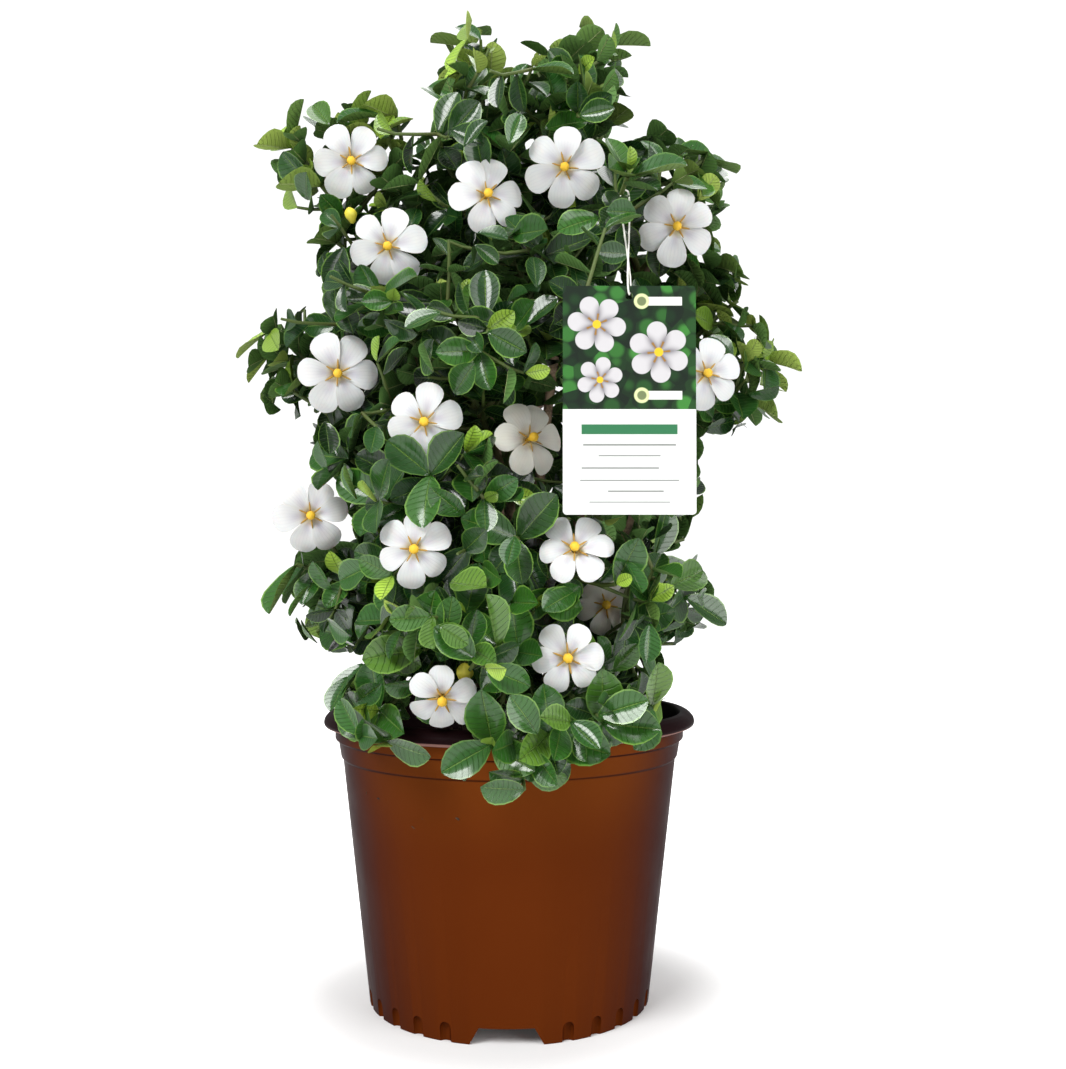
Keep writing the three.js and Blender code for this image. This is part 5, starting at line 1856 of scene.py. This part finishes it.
def pot_cuts():
    """The notches, flutes and drain holes that are cut out of the pot, as one object."""
    foot, bay = POT["foot_radius"], 360 / NOTCHES["count"]
    low, high, top = NOTCHES["bottom_width"] / 2 + 1, NOTCHES["top_width"] / 2, NOTCHES["height"]
    near, far = -foot - NOTCHES["margin"], -foot + NOTCHES["depth"]
    outline = ((-low, -1), (low, -1), (high, top), (-high, top))
    corners = [(x, y, z) for y in (near, far) for x, z in outline]
    sides = [(0, 1, 2, 3), (7, 6, 5, 4), (0, 4, 5, 1), (1, 5, 6, 2), (2, 6, 7, 3), (3, 7, 4, 0)]
    r, end = FLUTES["radius"], FLUTES["height"]
    dome = ((0, -2), (r, -2), (r, end - r), (r * 0.87, end - r * 0.5), (r * 0.5, end - r * 0.13), (0, end))
    pitch = (bay - 2 * FLUTES["first_angle"]) / (FLUTES["per_bay"] - 1)
    cuts = []
    for k in range(NOTCHES["count"]):
        cuts.append(cut_at(new_body("notch", corners, sides), k * bay))
        for i in range(FLUTES["per_bay"]):
            angle = k * bay + FLUTES["first_angle"] + i * pitch
            cuts.append(cut_at(turned_body("flute", dome, 20), angle, foot + FLUTES["proud"]))
    r = DRAIN_HOLES["radius"]
    for k in range(DRAIN_HOLES["count"]):
        hole = turned_body("hole", ((0, 8), (r, 8), (r, 20), (0, 20)), 24)
        cuts.append(cut_at(hole, 360 * k / DRAIN_HOLES["count"], DRAIN_HOLES["ring"]))
    work = bmesh.new()
    for piece in cuts:
        work.from_mesh(piece.data)
        bpy.data.objects.remove(piece)
    return linked("cuts", mesh_from(work, bpy.data.meshes.new("cuts")))


class GARDENIA_OT_pot(Operator):
    """Build the pot with its notches, flutes and drain holes"""

    bl_idname = "gardenia.pot"
    bl_label = "Pot"

    def execute(self, context):
        settings = context.scene.gardenia_pot
        pot, cuts = turned_body("nursery_pot", pot_section(settings.edge), settings.sides), pot_cuts()
        modifier = pot.modifiers.new("Cut", "BOOLEAN")
        modifier.operation, modifier.solver, modifier.object = "DIFFERENCE", "EXACT", cuts
        bake(pot)
        bpy.data.objects.remove(cuts)
        pot.data.shade_smooth()
        pot.data.set_sharp_from_angle(angle=math.radians(38))
        finished(pot, "pot", "pot", material=shared("Pot plastic", pot_material, settings.plastic))
        return {"FINISHED"}


def crumb_form():
    """A small blocky crumb of bark."""
    work = bmesh.new()
    bmesh.ops.create_icosphere(work, subdivisions=1, radius=0.0028)
    draw = draws(SEEDS["crumb"])
    for vertex in work.verts:
        vertex.co *= 0.7 + 0.6 * draw()
    return bpy.data.objects.new("crumb", mesh_from(work, bpy.data.meshes.new("crumb")))


class GARDENIA_OT_mix(Operator):
    """Build the potting mix with its crumbs"""

    bl_idname = "gardenia.mix"
    bl_label = "Potting mix"

    def execute(self, context):
        top, edge_top, gap, pad = MIX["top"], MIX["edge_top"], MIX["gap"], POT["pad_radius"]
        low, floor, foot = POT["pad_top"] + gap, POT["floor_top"] + gap, ROOT_COLLAR["bottom"] - 1
        edge = POT["body_top_radius"] - POT["wall"] - 2 * gap
        neck = ROOT_COLLAR["radius"] + 0.6
        section = (
            (0, low), (pad - 1 - gap, low), (pad + 2 - gap, floor),
            (floor_reach() - POT["skirt_wall"] - 2 * gap, floor), (edge, edge_top - 1),
            *((r, top - 1.0 - (top - edge_top) * (r / edge) ** 2) for r in range(118, 15, -6)),
            (neck, top - 1), (neck, foot), (0, foot),
        )
        soil = turned_body("potting_mix_top", section, 96)
        for vertex in soil.data.vertices:
            x, y, z = vertex.co / MM
            if z > edge_top - 2 and math.hypot(x, y) < edge - 1:
                swell = math.sin(x * 0.31 + 2 * math.sin(y * 0.17))
                swell += math.sin(y * 0.37 + 1.7 * math.sin(x * 0.13))
                vertex.co.z += 0.5 * swell * MM
        crumb, spacing = crumb_form(), context.scene.gardenia_pot.crumb_spacing
        values = {"above": (edge_top - 15) * MM, "spacing": spacing, "seed": SEEDS["crumbs"]}
        apply_tree(soil, scatter_tree(), crumb=crumb, material=shared("Potting mix", mix_material), **values)
        bpy.data.objects.remove(crumb)
        finished(soil, "potting_mix", "potting_mix")
        return {"FINISHED"}


# Card and loop


def arc(cx, cz, radius, first, sweep, steps):
    """Points round a middle, from an angle in degrees on through the sweep."""
    angles = (math.radians(first + sweep * k / steps) for k in range(steps + 1))
    return [(cx + radius * math.cos(angle), cz + radius * math.sin(angle)) for angle in angles]


def smoothed(route, steps):
    """A closed centripetal curve through the points of a route."""
    out, count = [], len(route)
    for i in range(count):
        p = [np.array(route[(i + k - 1) % count], float) for k in range(4)]
        t = [0.0]
        for a, b in zip(p, p[1:]):
            t.append(t[-1] + max(np.linalg.norm(b - a), 1e-4) ** 0.5)
        for s in range(steps):
            u = t[1] + (t[2] - t[1]) * s / steps
            a = [(p[k] * (t[k + 1] - u) + p[k + 1] * (u - t[k])) / (t[k + 1] - t[k]) for k in range(3)]
            b = [(a[k] * (t[k + 2] - u) + a[k + 1] * (u - t[k])) / (t[k + 2] - t[k]) for k in range(2)]
            out.append((b[0] * (t[2] - u) + b[1] * (u - t[1])) / (t[2] - t[1]))
    return out


def loop_route():
    """Points of the loop: up from the card's hole, one strand on each face, and over the twig behind."""
    gap, radius, hang = LOOP["clearance"], LOOP["radius"], LOOP["hang"]
    seat = TAG["hole_radius"] - radius - 3 * gap
    hole = TAG_CENTRE + UP * (TAG["height"] / 2 - TAG["hole_drop"] + seat)
    twig = lines_as_solid(CARD_BRANCH, solid_tree([CARD_BRANCH]))[CARD_SHOOT]
    first, last = twig.at(1 - 1 / TWIG["steps"]), twig.at(1)
    run = last - first
    share = min(max(np.dot(hole - first, run) / np.dot(run, run), 0), 1)
    hung = first + run * share
    rise = unit(hung - hole)
    side = unit(np.cross(run, rise))
    over = TWIG["tip_radius"] + radius + 2 * gap
    away = TAG["thickness"] / 2 + radius + gap
    edge = TAG["hole_drop"] - seat + 1
    round_twig = ((-1, -hang), (-1, -0.4), (-0.72, 0.72), (0, 1.05), (0.72, 0.72), (1, -0.4), (1, -hang))
    return smoothed([
        hole, hole + (-0.5, -away, 1.5), hole + (-1, -away, edge),
        *(hung + side * x * over + rise * z * over for x, z in round_twig),
        hole + (1, away, edge), hole + (0.5, away, 1.5),
    ], 6)


class GARDENIA_OT_card(Operator):
    """Build the printed card and the elastic loop that it hangs on"""

    bl_idname = "gardenia.card"
    bl_label = "Card and loop"

    def execute(self, context):
        x, z, r = TAG["width"] / 2 - TAG["corner"], TAG["height"] / 2 - TAG["corner"], TAG["corner"]
        corners = ((x, -z, 270), (x, z, 0), (-x, z, 90), (-x, -z, 180))
        outline = [spot for cx, cz, first in corners for spot in arc(cx, cz, r, first, 90, 6)]
        around = len(outline)
        hole = arc(0, TAG["height"] / 2 - TAG["hole_drop"], TAG["hole_radius"], 270, 360, around)[:-1]
        half = TAG["thickness"] / 2
        rings = ((outline, -half), (outline, half), (hole, half), (hole, -half))
        points = [TAG_CENTRE + (x, y, z) for ring, y in rings for x, z in ring]
        faces = []
        for a, b in ((0, 1), (1, 2), (2, 3), (3, 0)):
            for k, n in zip(range(around), (*range(1, around), 0)):
                faces.append([a * around + k, a * around + n, b * around + n, b * around + k])
        card = new_body("hang_card", points, faces)
        card.data.set_sharp_from_angle(angle=math.radians(30))
        finished(card, "tag_card", "plant_tag", material=shared("Card print", card_material))
        route = loop_route()
        loop = lines_piece("elastic_loop", [(route, [LOOP["radius"]] * len(route), 0, 0)], closed=True)
        apply_tree(loop, bars_tree(), sides=10, material=shared("Elastic", elastic_material))
        finished(loop, "elastic", "tag_loop")
        return {"FINISHED"}


# Stage, panel and main


class GARDENIA_OT_stage(Operator):
    """Set up the camera, the lights and the floor"""

    bl_idname = "gardenia.stage"
    bl_label = "Stage"

    def execute(self, context):
        scene, settings = context.scene, context.scene.gardenia_stage
        scene.view_settings.view_transform = "Standard"
        data = bpy.data.cameras.new("camera")
        data.lens = CAMERA["lens"]
        scene.camera = self.placed("camera", data, CAMERA["place"] * MM)
        scene.camera.rotation_euler = (math.pi / 2 + CAMERA["pitch"], 0, 0)
        for name, (place, size, power) in LAMPS.items():
            self.light(name, place, size, getattr(settings, power))
        corners = ((-1, -1, 0), (1, -1, 0), (1, 1, 0), (-1, 1, 0))
        floor = linked("floor", mesh_of("floor", corners, [(0, 1, 2, 3)], scale=FLOOR_HALF))
        finish, white = Finish("Floor"), (1, 1, 1, 1)
        seen = add(finish.tree, "ShaderNodeLightPath", output="Is Camera Ray")
        glow = seen * spread(length_of(finish.place()), 0.12, 0.25, 0.03, settings.floor_glow)
        floor.data.materials.append(finish.set(
            Base_Color=(0.9, 0.9, 0.9, 1), Roughness=1.0, Specular_IOR_Level=0.0, Emission_Color=white,
            Emission_Strength=glow,
        ))
        scene.world = bpy.data.worlds.new("sky")
        scene.world.use_nodes = True
        tree = scene.world.node_tree
        sky = tree.nodes["Background"].inputs
        seen = add(tree, "ShaderNodeLightPath", output="Is Camera Ray")
        put(sky["Strength"], spread(seen, 0.0, 1.0, settings.sky, 1.1))
        put(sky["Color"], white)
        return {"FINISHED"}

    def placed(self, name, data, place):
        thing = bpy.data.objects.new(name, data)
        thing.location = place
        bpy.context.scene.collection.objects.link(thing)
        return thing

    def light(self, name, place, size, power):
        """A square lamp that shines on the plant."""
        data = bpy.data.lights.new(name, "AREA")
        data.size = size
        data.energy = power
        lamp = self.placed(name, data, place)
        lamp.rotation_euler = (LAMPS_AIM - lamp.location).to_track_quat("-Z", "Y").to_euler()


class GARDENIA_PT_panel(Panel):
    bl_idname = "GARDENIA_PT_panel"
    bl_label = "Potted Gardenia"
    bl_space_type = "VIEW_3D"
    bl_region_type = "UI"
    bl_category = "Gardenia"

    def draw(self, context):
        column = self.layout.column()
        for operator in OPERATORS:
            column.operator(operator.bl_idname)
        for label in SETTINGS:
            settings = getattr(context.scene, label)
            for name in settings.bl_rna.properties.keys():
                if name not in ("rna_type", "name"):
                    column.prop(settings, name)


OPERATORS = (
    GARDENIA_OT_foliage,
    GARDENIA_OT_stems,
    GARDENIA_OT_blooms,
    GARDENIA_OT_buds,
    GARDENIA_OT_pot,
    GARDENIA_OT_mix,
    GARDENIA_OT_card,
    GARDENIA_OT_stage,
)
SETTINGS = {
    "gardenia_foliage": GardeniaFoliage,
    "gardenia_blooms": GardeniaBlooms,
    "gardenia_pot": GardeniaPot,
    "gardenia_stage": GardeniaStage,
}


def register():
    for kind in (*SETTINGS.values(), *OPERATORS, GARDENIA_PT_panel):
        bpy.utils.register_class(kind)
    for label, kind in SETTINGS.items():
        setattr(bpy.types.Scene, label, PointerProperty(type=kind))


def unregister():
    for label in SETTINGS:
        delattr(bpy.types.Scene, label)
    for kind in reversed((*SETTINGS.values(), *OPERATORS, GARDENIA_PT_panel)):
        bpy.utils.unregister_class(kind)


def main():
    register()
    bpy.ops.gardenia.foliage()
    bpy.ops.gardenia.stems()
    bpy.ops.gardenia.blooms()
    bpy.ops.gardenia.buds()
    bpy.ops.gardenia.pot()
    bpy.ops.gardenia.mix()
    bpy.ops.gardenia.card()
    bpy.ops.gardenia.stage()


if __name__ == "__main__":
    main()
